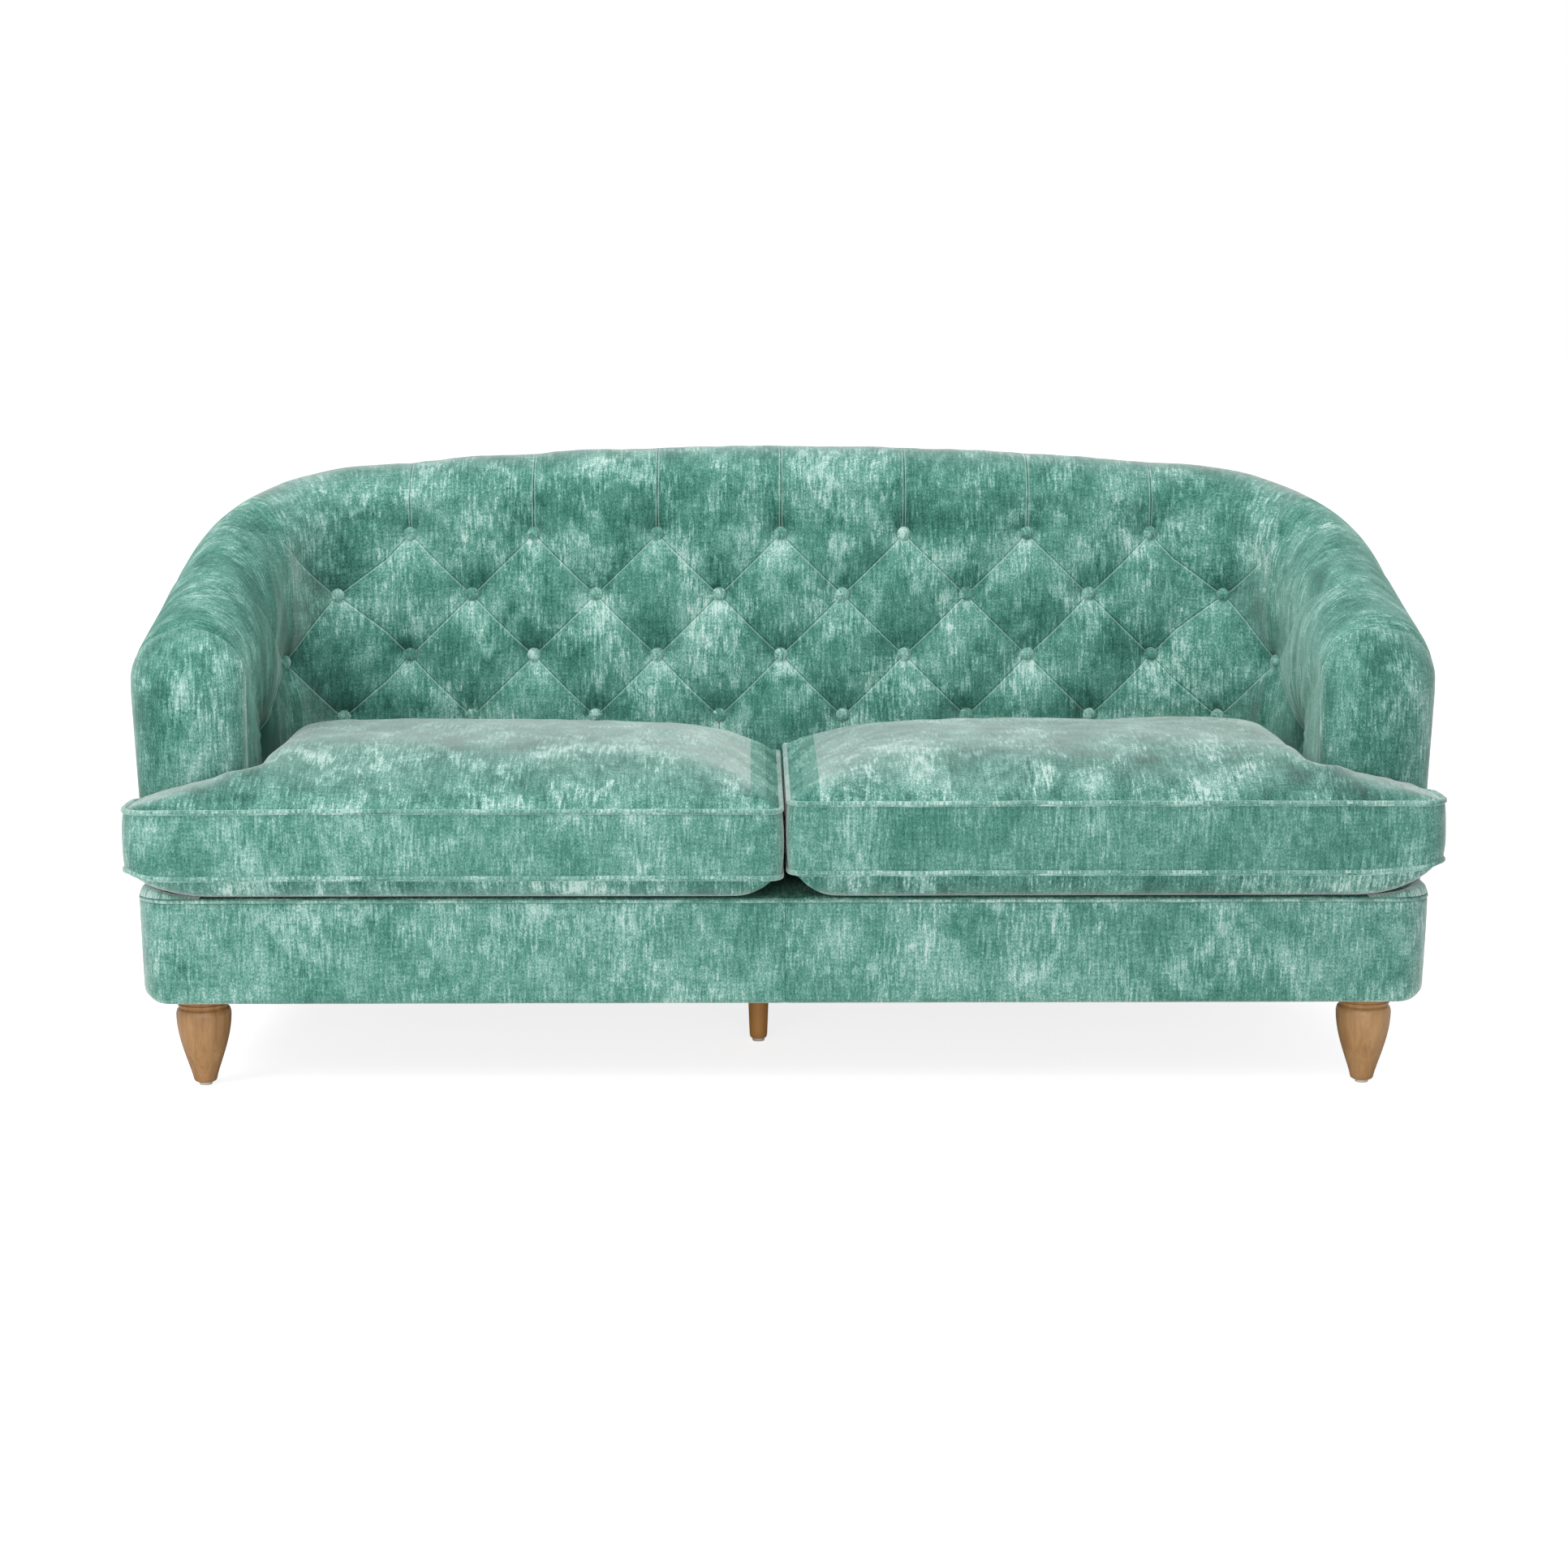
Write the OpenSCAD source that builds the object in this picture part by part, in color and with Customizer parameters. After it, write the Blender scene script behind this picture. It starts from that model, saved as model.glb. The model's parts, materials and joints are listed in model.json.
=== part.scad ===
// A tufted sofa with rounded corners, two T-shaped seat cushions and turned front legs.
// The origin is on the floor at the middle of the plan. +X is the sitter's left, seen as right
// from the front, +Y goes to the back and +Z goes up. Lengths are in millimetres. Left and right in
// the pieces' names are as seen from the front, so left is the -X side.

/* [Overall size] */
// Width across the arms
sofa_w = 1912; // [1816:8:2056]
// Depth from the front of the cushions to the outside back
sofa_d = 915; // [895:5:960]
// Height of the crest at the middle of the back
crest_h = 902; // [880:2:940]
// Height of the arms at their front
arm_h = 632; // [610:2:660]
// Height of the crown of the seat cushions
seat_h = 500; // [485:1:512]

/* [Upholstered walls] */
// Thickness of an arm under its roll
arm_t = 156; // [146:1:176]
// Thickness of the back at the seat deck
back_t = 275; // [260:1:300]
// Radius of the inside rear corners, in plan
corner_r = 160; // [140:5:190]
// Lean of the inside back, as a slope
back_lean = 0.17; // [0.14:0.002:0.2]
// Height of the rounded roll on top of the back
roll_h = 76; // [66:1:84]
// Height of the fuller roll where the arms leave the corners
corner_roll_h = 138; // [90:2:150]
// Height of the roll at the arm fronts
arm_roll_h = 64; // [54:1:76]
// Radius that rounds the arm fronts
arm_front_r = 46; // [36:1:48]
// How much the outside arms draw in from the roll to the floor side
arm_draw = 21; // [14:1:30]
// How much the inside arms swell out over the seat
arm_swell = 12; // [0:1:16]
// Extra fall of the arms' tops at their front ends
arm_droop = 10; // [0:1:14]
// Fall of the crest from the middle of the back to its corners
crest_crown = 29; // [16:1:34]

/* [Tufting] */
// Half pitches between the outermost top buttons and the middle
back_cells = 6; // [4:2:6]
// Height of the lowest row of buttons
low_row_z = 470; // [455:1:480]
// Height from one row of buttons to the next
row_pitch = 97.5; // [92:0.5:104]
// Depth of the tufts at the buttons
tuft_depth = 36; // [20:1:38]
// Depth of the pleats that run up over the crest
pleat_depth = 13; // [6:1:14]
// Thickness of the wadded cover at its fullest
wad_t = 44; // [42:1:48]
// Thickness of the wadded cover over the crest
crest_wad_t = 16; // [15:1:20]
// Diameter of a covered button
button_dia = 22; // [18:1:26]
// Height of a covered button
button_h = 6; // [4:0.5:8]

/* [Base and legs] */
// Height of the legs
leg_h = 133; // [115:1:160]
// Height of the upholstered base, from the legs to the seat deck
base_h = 155; // [145:1:170]
// Half of the base's width less than half of the arms' width
base_in = 21; // [16:1:32]
// How far the cushions stand in front of the base
cushion_lip = 30; // [20:1:40]
// Radius of the base's front corners
base_corner_r = 55; // [45:1:70]
// Thickness of the base border with its padding
border_t = 11; // [8:1:14]
// Diameter of the front legs at their collar
leg_dia = 79; // [72:1:88]
// Diameter of the plain legs at their top
plain_leg_dia = 36; // [32:1:44]
// Height of the glides under the legs
glide_h = 5; // [4:0.5:7]
// Offset of the centre leg from the middle, towards -X
centre_leg_off = 38; // [30:1:50]

/* [Seat cushions] */
// Gap between the two cushions
cushion_gap = 3; // [2:0.5:8]
// Depth of the ears in front of the arms
ear_d = 130; // [115:1:145]
// Height of the boxing between the two pipings
boxing_h = 98; // [88:1:110]
// Fullness of the cushion under its lower piping
under_h = 37; // [28:1:44]
// Diameter of the cushion piping
piping_dia = 8; // [6:0.5:10]
// How far the long sides draw in between the corners
side_draw = 5; // [0:1:8]
// Length of the zip in the rear boxing
zip_len = 430; // [380:10:460]

/* [Frame] */
// Thickness of the rails
rail_t = 28; // [22:1:32]
// Thickness of the plywood ribs
rib_t = 20; // [15:1:25]
// Number of seat springs
spring_count = 10; // [8:2:12]
// Diameter of the spring wire
spring_wire = 4; // [3:0.5:4.5]

/* [Hidden] */

fabric_colour = "#5fa79d";
wood_colour = "#c98f57";
frame_colour = "#d9c29a";
foam_colour = "#efe6c4";
steel_colour = "#8f9499";
black_colour = "#2b2b2b";
pale_colour = "#dedbd2";

// Clearance between soft or curved neighbours
soft_gap = 0.3;
// Thickness of a plain upholstery cover with its lining
cover_t = 5;
deck_z = leg_h + base_h;
front_y = -sofa_d / 2;
rear_y = sofa_d / 2;
seat_half = sofa_w / 2 - arm_t;
straight_half = seat_half - corner_r;
back_y = rear_y - back_t;
corner_y = back_y - corner_r;
arm_y = front_y + ear_d;

// The inner plan path, measured from the middle of the back to the front of an arm
s_corner = straight_half;
s_arm = straight_half + corner_r * PI / 2;
s_front = s_arm + corner_y - arm_y;

function mix(a, b, t) = a + (b - a) * t;
function clamp(x, low, high) = min(max(x, low), high);
function smooth(t) = let (u = clamp(t, 0, 1)) u * u * (3 - 2 * u);

// Angle that the wall's normal has turned from the back's direction at s
function turn(s) = clamp((s - s_corner) / corner_r, 0, PI / 2) * 180 / PI;
function normal(s) = let (a = turn(abs(s))) [sign(s) * sin(a), cos(a)];
function path(s) =
    let (d = abs(s), a = turn(d))
    [sign(s) * (min(d, s_corner) + corner_r * sin(a)),
     corner_y + corner_r * cos(a) - max(0, d - s_arm)];

// 1 on the back and 0 on the arms
function backness(s) = 1 - smooth(turn(abs(s)) / 90);
function lean(s) = back_lean * backness(s);

// Crest height along the path: crowned on the back, an S-curve through the corner, a slope on the arm
crest_fall = crest_h - arm_h - arm_droop - crest_crown * pow(s_front / s_corner, 2);
corner_share = 0.69;
fall_start = 8;
fall_len = 313;
droop_len = 90;
s_fall = s_corner + fall_start;
function crest(s) =
    let (d = abs(s))
    crest_h - crest_crown * pow(d / s_corner, 2)
    - crest_fall * corner_share * smooth((d - s_fall) / fall_len)
    - crest_fall * (1 - corner_share) * max(0, d - s_fall - fall_len)
      / (s_front - s_fall - fall_len)
    - arm_droop * pow(max(0, d - s_front + droop_len) / droop_len, 2);
function roll_at(s) =
    let (d = abs(s))
    d < s_arm ? mix(corner_roll_h, roll_h, backness(s))
        : mix(corner_roll_h, arm_roll_h, (d - s_arm) / (s_front - s_arm));
function roll_z(s) = crest(s) - roll_at(s);

// Inner and outer faces of the upholstered wall, as distances outward from the path
function q_in(s, z) = lean(s) * (z - deck_z) - arm_swell * (1 - backness(s));
back_taper = 25;
function q_out(s, z) =
    mix(arm_t - arm_draw * (1 - clamp((z - leg_h) / (arm_h - arm_roll_h - leg_h), 0, 1)),
        back_t - back_taper * (z - leg_h) / (crest_h - roll_h - leg_h),
        backness(s));
function roll_half(s) = (q_out(s, roll_z(s)) - q_in(s, roll_z(s))) / 2;
function roll_q(s) = q_in(s, roll_z(s)) + roll_half(s);
function roll_len(s) = PI * sqrt((pow(roll_half(s), 2) + pow(roll_at(s), 2)) / 2);

// A point of the section at s, at girth height h and a depth t under the skin. Up to the roll h is
// a height, and over the roll it goes on as a length along the skin.
function section(s, h, t) =
    let (zr = roll_z(s), a = 180 * (h - zr) / roll_len(s))
    h <= zr
    ? [q_in(s, h) + t, h]
    : [roll_q(s) - (roll_half(s) - t) * cos(a), zr + (roll_at(s) - t) * sin(a)];
function outer_section(s, z, t) = [q_out(s, z) - t, z];
function place(s, qz) = let (p = path(s), n = normal(s)) [p[0] + n[0] * qz[0], p[1] + n[1] * qz[0], qz[1]];
function girth(s, angle) = roll_z(s) + roll_len(s) * angle / 180;

// The tuft lattice: column numbers grow by one per half pitch, rows count up from the lowest. Past
// the back's columns, two closer ones stand round each corner and one on each arm.
edge_in = 36;
corner_closeness = 0.909;
last_button_in = 62;
corner_cells = 2;
arm_cells = 1;
s_fan = s_corner - edge_in;
column_pitch = s_fan / back_cells;
corner_pitch = corner_closeness * column_pitch;
s_split = s_fan + corner_cells * corner_pitch;
arm_pitch = s_arm + last_button_in - s_split;
split_column = back_cells + corner_cells;
last_column = split_column + arm_cells;
top_row = 3;
function column(s) =
    let (d = abs(s))
    d < s_fan ? d / column_pitch
    : d < s_split ? back_cells + (d - s_fan) / corner_pitch
    : split_column + (d - s_split) / arm_pitch;
function column_s(k) =
    let (c = abs(k))
    sign(k) * (c < back_cells ? c * column_pitch
        : c < split_column ? s_fan + (c - back_cells) * corner_pitch
        : s_split + (c - split_column) * arm_pitch);
function row(h) = (h - low_row_z) / row_pitch;
function row_h(r) = low_row_z + r * row_pitch;

crease = 0.7;
pleat_fade = 3;
function ridge(x) = pow(abs(sin(180 * x)), crease);
function fade(x) = exp(-pleat_fade * x);
// Depth of the skin under its fullest, at a column and a row
function tuft(k, r) =
    k + r <= last_column && r >= 0 && r <= top_row
    ? tuft_depth * (1 - (ridge((k + r + 1) / 2) + ridge((k - r + 1) / 2)) / 2)
    : r < 0
    ? mix(pleat_depth, tuft_depth, fade(-r)) * (k > last_column + 1 ? 0 : 1 - ridge((k + 1) / 2))
    : k <= back_cells
    ? mix(pleat_depth, tuft_depth, fade(r - top_row)) * (1 - ridge(k / 2))
    : let (
        g = r > top_row ? (k - back_cells) / (r - 1) : (k - r - top_row) / 2,
        out = max(0, (k + r - last_column) / 2))
      mix(pleat_depth, tuft_depth, fade(out)) * (g > top_row + 0.5 ? 0 : 1 - ridge(g));
// The skin's depth eases out towards the outside seam and the arm's front
seam_angle = 160;
ease_from = 60;
ease_over = 90;
front_ease_len = 60;
function tuft_at(s, h) =
    let (
        a = 180 * (h - roll_z(s)) / roll_len(s),
        seam_ease = 1 - smooth((a - ease_from) / ease_over),
        front_ease = smooth((s_front - arm_front_r - abs(s)) / front_ease_len))
    tuft(column(s), row(h)) * seam_ease * (column(s) > last_column ? front_ease : 1);

// A closed skin between two grids of points, both [station][row], stitched round its border. The
// front grid faces the sitter. The back grid's rows are the front rows named in picks.
module layer(front, back, picks, rising) {
    nf = len(front[0]);
    nb = len(back[0]);
    ns = len(front);
    first_back = ns * nf;
    points = concat([for (c = front) each c], [for (c = back) each c]);
    function f(i, j) = i * nf + j;
    function b(i, j) = first_back + i * nb + j;
    function end_fan(i, m) =
        let (j0 = picks[m], j1 = picks[m + 1], half = floor((j0 + j1) / 2))
        concat(
            [for (j = [j0 : 1 : j1 - 1]) [f(i, j), b(i, j < half ? m : m + 1), f(i, j + 1)]],
            [[b(i, m), b(i, m + 1), f(i, half)]]);
    front_faces = [for (i = [0 : ns - 2], j = [0 : nf - 2]) each
        rising[i][j]
        ? [[f(i, j), f(i + 1, j + 1), f(i + 1, j)], [f(i, j), f(i, j + 1), f(i + 1, j + 1)]]
        : [[f(i, j), f(i, j + 1), f(i + 1, j)], [f(i + 1, j), f(i, j + 1), f(i + 1, j + 1)]]];
    back_faces = [for (i = [0 : ns - 2], m = [0 : nb - 2]) each
        [[b(i, m), b(i + 1, m), b(i + 1, m + 1)], [b(i, m), b(i + 1, m + 1), b(i, m + 1)]]];
    bottom_faces = [for (i = [0 : ns - 2]) each
        [[f(i, 0), b(i + 1, 0), b(i, 0)], [f(i, 0), f(i + 1, 0), b(i + 1, 0)]]];
    top_faces = [for (i = [0 : ns - 2]) each
        [[f(i, nf - 1), b(i, nb - 1), b(i + 1, nb - 1)], [f(i, nf - 1), b(i + 1, nb - 1), f(i + 1, nf - 1)]]];
    start_faces = [for (m = [0 : nb - 2]) each end_fan(0, m)];
    finish_faces = [for (m = [0 : nb - 2]) each [for (t = end_fan(ns - 1, m)) [t[0], t[2], t[1]]]];
    polyhedron(points, concat(front_faces, back_faces, bottom_faces, top_faces, start_faces, finish_faces));
}

// Rows of the tufted cover: below the buttons, through them, then on to the outside seam
cell_steps = 3;
low_steps = 3;
lattice_steps = top_row * cell_steps;
upper_steps = 8;
seam_steps = lattice_steps + upper_steps;
row_picks = [0, low_steps, low_steps + 6, low_steps + lattice_steps, low_steps + lattice_steps + 2,
    low_steps + lattice_steps + 5, low_steps + seam_steps];
function cover_rows(s) =
    let (fixed = round(clamp(last_column - column(s), 0, top_row) * cell_steps),
         top = girth(s, seam_angle),
         from = row_h(fixed / cell_steps))
    concat(
        [for (j = [0 : low_steps - 1]) mix(deck_z + soft_gap, low_row_z, j / low_steps)],
        [for (j = [0 : seam_steps])
            j <= fixed ? row_h(j / cell_steps) : mix(from, top, (j - fixed) / (seam_steps - fixed))]);
// The wadding thins out over this share of the roll
thin_share = 0.42;
function pad_t(s, h) = mix(wad_t, crest_wad_t, smooth((h - roll_z(s)) / roll_len(s) / thin_share));

// Which way a grid cell is cut into triangles, so that the cuts follow the pleats
function cell_diagonal(s0, s1, h) =
    let (m = (s0 + s1) / 2, k = column(m), up = (floor(k) + floor(row(h))) % 2 != 0)
    m > 0 ? up : !up;
module tufted_cover(stations) {
    rows = [for (s = stations) cover_rows(s)];
    front = [for (i = [0 : len(stations) - 1])
        [for (h = rows[i]) place(stations[i], section(stations[i], h, tuft_at(stations[i], h)))]];
    back = [for (i = [0 : len(stations) - 1])
        let (s = stations[i]) [for (m = row_picks) place(s, section(s, rows[i][m], pad_t(s, rows[i][m])))]];
    rising = [for (i = [0 : len(stations) - 2])
        [for (j = [0 : len(rows[i]) - 2])
            cell_diagonal(stations[i], stations[i + 1], (rows[i][j] + rows[i][j + 1]) / 2)]];
    color(fabric_colour) layer(front, back, row_picks, rising);
}

arm_end = s_front - arm_front_r - soft_gap;
arm_steps = 6;
back_stations = [for (i = [-back_cells * cell_steps : back_cells * cell_steps]) column_s(i / cell_steps)];
corner_stations = [for (i = [0 : corner_cells * cell_steps]) column_s(back_cells + i / cell_steps)];
arm_cell_steps = 6;
arm_stations = concat(
    [for (i = [0 : arm_cell_steps]) column_s(split_column + i / arm_cell_steps)],
    [for (i = [1 : arm_steps]) mix(column_s(last_column), arm_end, i / arm_steps)]);

// A sheet or bar swept along the wall between two rows of section points, front and back
module swept(front, back) {
    n = len(front[0]);
    layer(front, back, [for (j = [0 : n - 1]) j], [for (c = front) [for (p = c) true]]);
}

// Foam slabs behind the tufted cover, from the deck to the start of the roll
back_foam_t = 40;
arm_foam_t = 25;
foam_gap = 1;
foam_drop = 2;
function foam_t(s) = mix(arm_foam_t, back_foam_t, backness(s));
function foam_face(s, t, rows) =
    [for (j = [0 : rows]) place(s, section(s, mix(deck_z + soft_gap, roll_z(s) - foam_drop, j / rows), t))];
module foam(stations, rows)
    color(foam_colour)
    swept([for (s = stations) foam_face(s, wad_t + foam_gap, rows)],
        [for (s = stations) foam_face(s, wad_t + foam_gap + foam_t(s), rows)]);
back_foam_stations = [for (i = [-back_cells : back_cells]) column_s(i)];

// The rounded arm front: sections that draw in towards the front, closed by a flat cap
front_angles = [0, 25, 45, 65, 90];
roll_turns = [0 : 20 : 180];
function front_ring(s, t) = concat(
    [for (u = [0, 0.5]) place(s, [q_in(s, deck_z) + t, mix(deck_z + soft_gap, roll_z(s), u)])],
    [for (a = roll_turns) place(s, section(s, girth(s, a), t))],
    [for (u = [0.5, 0]) let (z = mix(deck_z + soft_gap, roll_z(s), u)) place(s, outer_section(s, z, t))]);
module arm_front_right() {
    rings = [for (a = front_angles)
        front_ring(s_front - arm_front_r * (1 - cos(a)), arm_front_r * (1 - sin(a)))];
    n = len(rings[0]);
    last = len(rings) - 1;
    function at(i, j) = i * n + j % n;
    centre = len(rings) * n;
    mid_qz = [(arm_t - arm_swell) / 2, mix(deck_z, arm_h, 0.5)];
    points = concat([for (r = rings) each r],
        [place(s_front, mid_qz), place(s_front - arm_front_r, mid_qz)]);
    sides = [for (i = [0 : last - 1], j = [0 : n - 1]) each
        [[at(i, j), at(i + 1, j + 1), at(i, j + 1)], [at(i, j), at(i + 1, j), at(i + 1, j + 1)]]];
    caps = [for (j = [0 : n - 1]) each
        [[centre, at(0, j), at(0, j + 1)], [centre + 1, at(last, j + 1), at(last, j)]]];
    color(fabric_colour) polyhedron(points, concat(sides, caps));
}

// Plain outside covers, from the bottom of the base to the seam behind the crest
outside_rows = [0, 0.36, 0.7, 1];
outside_turns = [170, seam_angle + 1];
function outside_column(s, t) = concat(
    [for (u = outside_rows) place(s, outer_section(s, mix(leg_h, roll_z(s), u), t))],
    [for (a = outside_turns) place(s, section(s, girth(s, a), t))]);
module outside_cover(stations)
    color(fabric_colour)
    swept([for (s = stations) outside_column(s, cover_t)], [for (s = stations) outside_column(s, 0)]);
s_seam = (s_corner + s_arm) / 2;
outside_arm_stations = concat([s_seam], arm_stations);
half_back_stations = concat(
    [for (i = [0 : 3]) mix(0, s_corner, i / 3)],
    [for (i = [1 : 4]) mix(s_corner, s_seam, i / 4)]);
outside_back_stations = concat([for (i = [7 : -1 : 1]) -half_back_stations[i]], half_back_stations);

// Heights and places of the seat frame
dust_t = 1;
frame_z = leg_h + dust_t + soft_gap;
deck_cover_t = 1.2;
deck_cover_in = 0.5;
deck_build = 32;
rail_top = deck_z - deck_build;
base_half = sofa_w / 2 - base_in;
base_y = front_y + cushion_lip;
arm_end_y = corner_y - (arm_end - s_arm);
front_rail_y = base_y + border_t + soft_gap;
side_rail_x = base_half - border_t - soft_gap - rail_t;
side_rail_front = base_y + base_corner_r;
side_rail_past = 110;
side_rail_back = corner_y + side_rail_past;
rear_seat_in = 90;
rear_seat_y = back_y + rear_seat_in;
rear_seat_past = 100;
rear_seat_half = s_corner + rear_seat_past;
back_rail_y = back_y + q_out(0, rail_top) - cover_t - soft_gap - rail_t;
rail_h = rail_top - frame_z;
front_rail_past = 3;
front_rail_half = base_half - base_corner_r + front_rail_past;

module rail(corner, size) color(frame_colour) translate(corner) cube(size);
module front_rail()
    rail([-front_rail_half, front_rail_y, frame_z], [2 * front_rail_half, rail_t, rail_h]);
module rear_seat_rail()
    rail([-rear_seat_half, rear_seat_y, frame_z], [2 * rear_seat_half, rail_t, rail_h]);
module back_rail()
    rail([-straight_half, back_rail_y, frame_z], [2 * straight_half, rail_t, rail_h]);
module one_side_rail()
    rail([side_rail_x, side_rail_front, frame_z], [rail_t, side_rail_back - side_rail_front, rail_h]);
module centre_rail()
    rail([-rail_t / 2, front_rail_y + rail_t, frame_z],
        [rail_t, rear_seat_y - front_rail_y - rail_t, rail_h]);

// The rear corner rail runs from the end of the side rail to the end of the back rail
block_h = 30;
module one_rear_corner_rail()
    color(frame_colour)
    translate([0, 0, frame_z + block_h])
    linear_extrude(rail_h - block_h)
    polygon([[side_rail_x, side_rail_back], [side_rail_x + rail_t, side_rail_back],
        [straight_half, back_rail_y + rail_t], [straight_half, back_rail_y]]);

// Leg places and the blocks that the legs screw into
front_leg_in = 86;
front_leg_back = 70;
rear_leg_in = 112;
rear_leg_back = 90;
centre_leg_back = 375;
front_leg_x = base_half - front_leg_in;
front_leg_y = base_y + front_leg_back;
rear_leg_x = side_rail_x - rear_leg_in;
rear_leg_y = side_rail_back + rear_leg_back;
centre_leg_y = front_y + centre_leg_back;
front_leg_at = [front_leg_x, front_leg_y];
rear_leg_at = [rear_leg_x, rear_leg_y];
centre_leg_at = [-centre_leg_off, centre_leg_y];
leg_places = [front_leg_at, [-front_leg_x, front_leg_y], rear_leg_at, [-rear_leg_x, rear_leg_y],
    centre_leg_at];
// Sides of the small round pieces inside the frame
small_sides = 8;
bolt_r = 4;
bolt_gap = 0.1;
bolt_in_leg = 35;
nut_r = 5.5;
nut_flange_r = 11;
nut_flange_t = 1.5;
nut_up = 2;
block_side = 100;
rear_block_w = 157;
rear_block_lap = 40;
centre_block_w = 60;
centre_block_l = 90;
cut_past = 1;
module block_hole(at)
    translate([at[0], at[1], frame_z - cut_past])
    cylinder(r = nut_r + bolt_gap, h = block_h + 2 * cut_past, $fn = small_sides);
module corner_block()
    difference() {
        translate([side_rail_x - soft_gap - block_side, front_rail_y + rail_t, frame_z])
            cube([block_side, block_side, block_h]);
        block_hole(front_leg_at);
    }
module rear_block()
    difference() {
        x0 = side_rail_x - rear_block_w;
        x1 = side_rail_x - soft_gap;
        y0 = side_rail_back - rear_block_lap;
        y1 = rear_seat_y - soft_gap;
        translate([0, 0, frame_z])
            linear_extrude(block_h)
            polygon([[x0, y0], [x1, y0], [x1, side_rail_back], [x0 + rail_t / 2, y1], [x0 - block_side, y1]]);
        block_hole(rear_leg_at);
    }
module centre_block()
    difference() {
        translate([-rail_t / 2 - centre_block_w, centre_leg_y - centre_block_l / 2, frame_z])
            cube([centre_block_w, centre_block_l, block_h]);
        block_hole(centre_leg_at);
    }
module both() {
    children();
    mirror([1, 0, 0]) children();
}
module leg_blocks()
    color(frame_colour) {
        both() corner_block();
        both() rear_block();
        centre_block();
    }
module leg_bolts()
    color(steel_colour)
    for (p = leg_places)
        translate([p[0], p[1], frame_z - bolt_in_leg])
        cylinder(r = bolt_r, h = bolt_in_leg + block_h, $fn = small_sides);
module leg_nuts()
    color(steel_colour)
    for (p = leg_places)
        translate([p[0], p[1], frame_z])
        difference() {
            union() {
                translate([0, 0, nut_up]) cylinder(r = nut_r, h = block_h - nut_up, $fn = small_sides);
                translate([0, 0, block_h]) cylinder(r = nut_flange_r, h = nut_flange_t, $fn = small_sides);
            }
            cylinder(r = bolt_r + bolt_gap, h = block_h + nut_flange_t + cut_past, $fn = small_sides);
        }

// A turned form: a ring of points at each [radius, height] of the profile, from the bottom up
module turned(profile, sides) {
    last = len(profile) - 1;
    angles = [for (i = [0 : sides - 1]) 360 * i / sides];
    points = concat(
        [for (p = profile, a = angles) [p[0] * cos(a), p[0] * sin(a), p[1]]],
        [[0, 0, profile[0][1]], [0, 0, profile[last][1]]]);
    function at(r, i) = r * sides + i % sides;
    bottom = len(profile) * sides;
    walls = [for (r = [0 : last - 1], i = [0 : sides - 1]) each
        [[at(r, i), at(r + 1, i), at(r + 1, i + 1)], [at(r, i), at(r + 1, i + 1), at(r, i + 1)]]];
    caps = [for (i = [0 : sides - 1]) each
        [[bottom, at(0, i), at(0, i + 1)], [bottom + 1, at(last, i + 1), at(last, i)]]];
    polyhedron(points, concat(walls, caps));
}

// Turned legs. The front leg has a collar, a bead between two grooves and a bulb that tapers down
glide_r = 9.5;
foot_r = 17.5;
foot_round = 7;
foot_profile = [[3, 0], [0.8, 0.35]];
leg_sides = 24;
bulb_drop = 25;
bulb_out = 0.5;
bulb_power = 1.15;
// Insets from the collar's radius and drops under its top: the bulb's shoulder, the lower groove,
// the bead, the upper groove and the collar's round
collar_profile = [[1, 19.5], [4, 15.5], [2.4, 13.6], [2.4, 11.5], [4, 9.3], [0.8, 7], [0, 5], [0, 0]];
function leg_profile(top) =
    let (r = leg_dia / 2, foot_z = glide_h + foot_round, bulb_z = top - bulb_drop)
    concat(
        [for (p = foot_profile) [foot_r - p[0], glide_h + foot_round * p[1]]],
        [for (u = [0 : 1 / 7 : 1])
            [mix(foot_r, r + bulb_out, pow(sin(90 * u), bulb_power)), mix(foot_z, bulb_z, u)]],
        [for (p = collar_profile) [r - p[0], top - p[1]]]);
module leg_bore()
    translate([0, 0, frame_z - bolt_in_leg - bolt_gap])
    cylinder(r = bolt_r + bolt_gap, h = bolt_in_leg + cut_past, $fn = small_sides);
module front_leg_right()
    color(wood_colour)
    translate([front_leg_x, front_leg_y, 0])
    difference() {
        turned(leg_profile(frame_z), leg_sides);
        leg_bore();
    }
plain_foot_r = 13.5;
plain_foot_in = 2.5;
plain_foot_round = 3;
module plain_leg(at)
    color(wood_colour)
    translate([at[0], at[1], 0])
    difference() {
        turned([[plain_foot_r - plain_foot_in, glide_h], [plain_foot_r, glide_h + plain_foot_round],
            [plain_leg_dia / 2, frame_z]], leg_sides);
        leg_bore();
    }
module rear_leg_right() plain_leg(rear_leg_at);
module centre_leg() plain_leg(centre_leg_at);
module leg_glides()
    color(pale_colour)
    for (p = leg_places) translate([p[0], p[1], 0]) cylinder(r = glide_r, h = glide_h, $fn = 32);

// Top rail round the arms, the corners and the back, under the crest
hoop_drop = 48;
hoop_t = 25;
hoop_w = 40;
hoop_gap = 1.5;
web_t = 2;
function hoop_q(s) = q_in(s, roll_z(s)) + wad_t + foam_gap + foam_t(s) + hoop_gap;
function hoop_z(s) = crest(s) - hoop_drop;
function hoop_side(s, q) = [for (z = [hoop_z(s) - hoop_t, hoop_z(s)]) place(s, [q, z])];
module hoop(stations)
    color(frame_colour)
    swept([for (s = stations) hoop_side(s, hoop_q(s))],
        [for (s = stations) hoop_side(s, hoop_q(s) + hoop_w)]);
hoop_corner_stations = [for (i = [0 : 8]) mix(s_corner, s_arm, i / 8)];
hoop_arm_stations = [for (i = [0 : 6]) mix(s_arm, arm_end, i / 6)];
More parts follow.
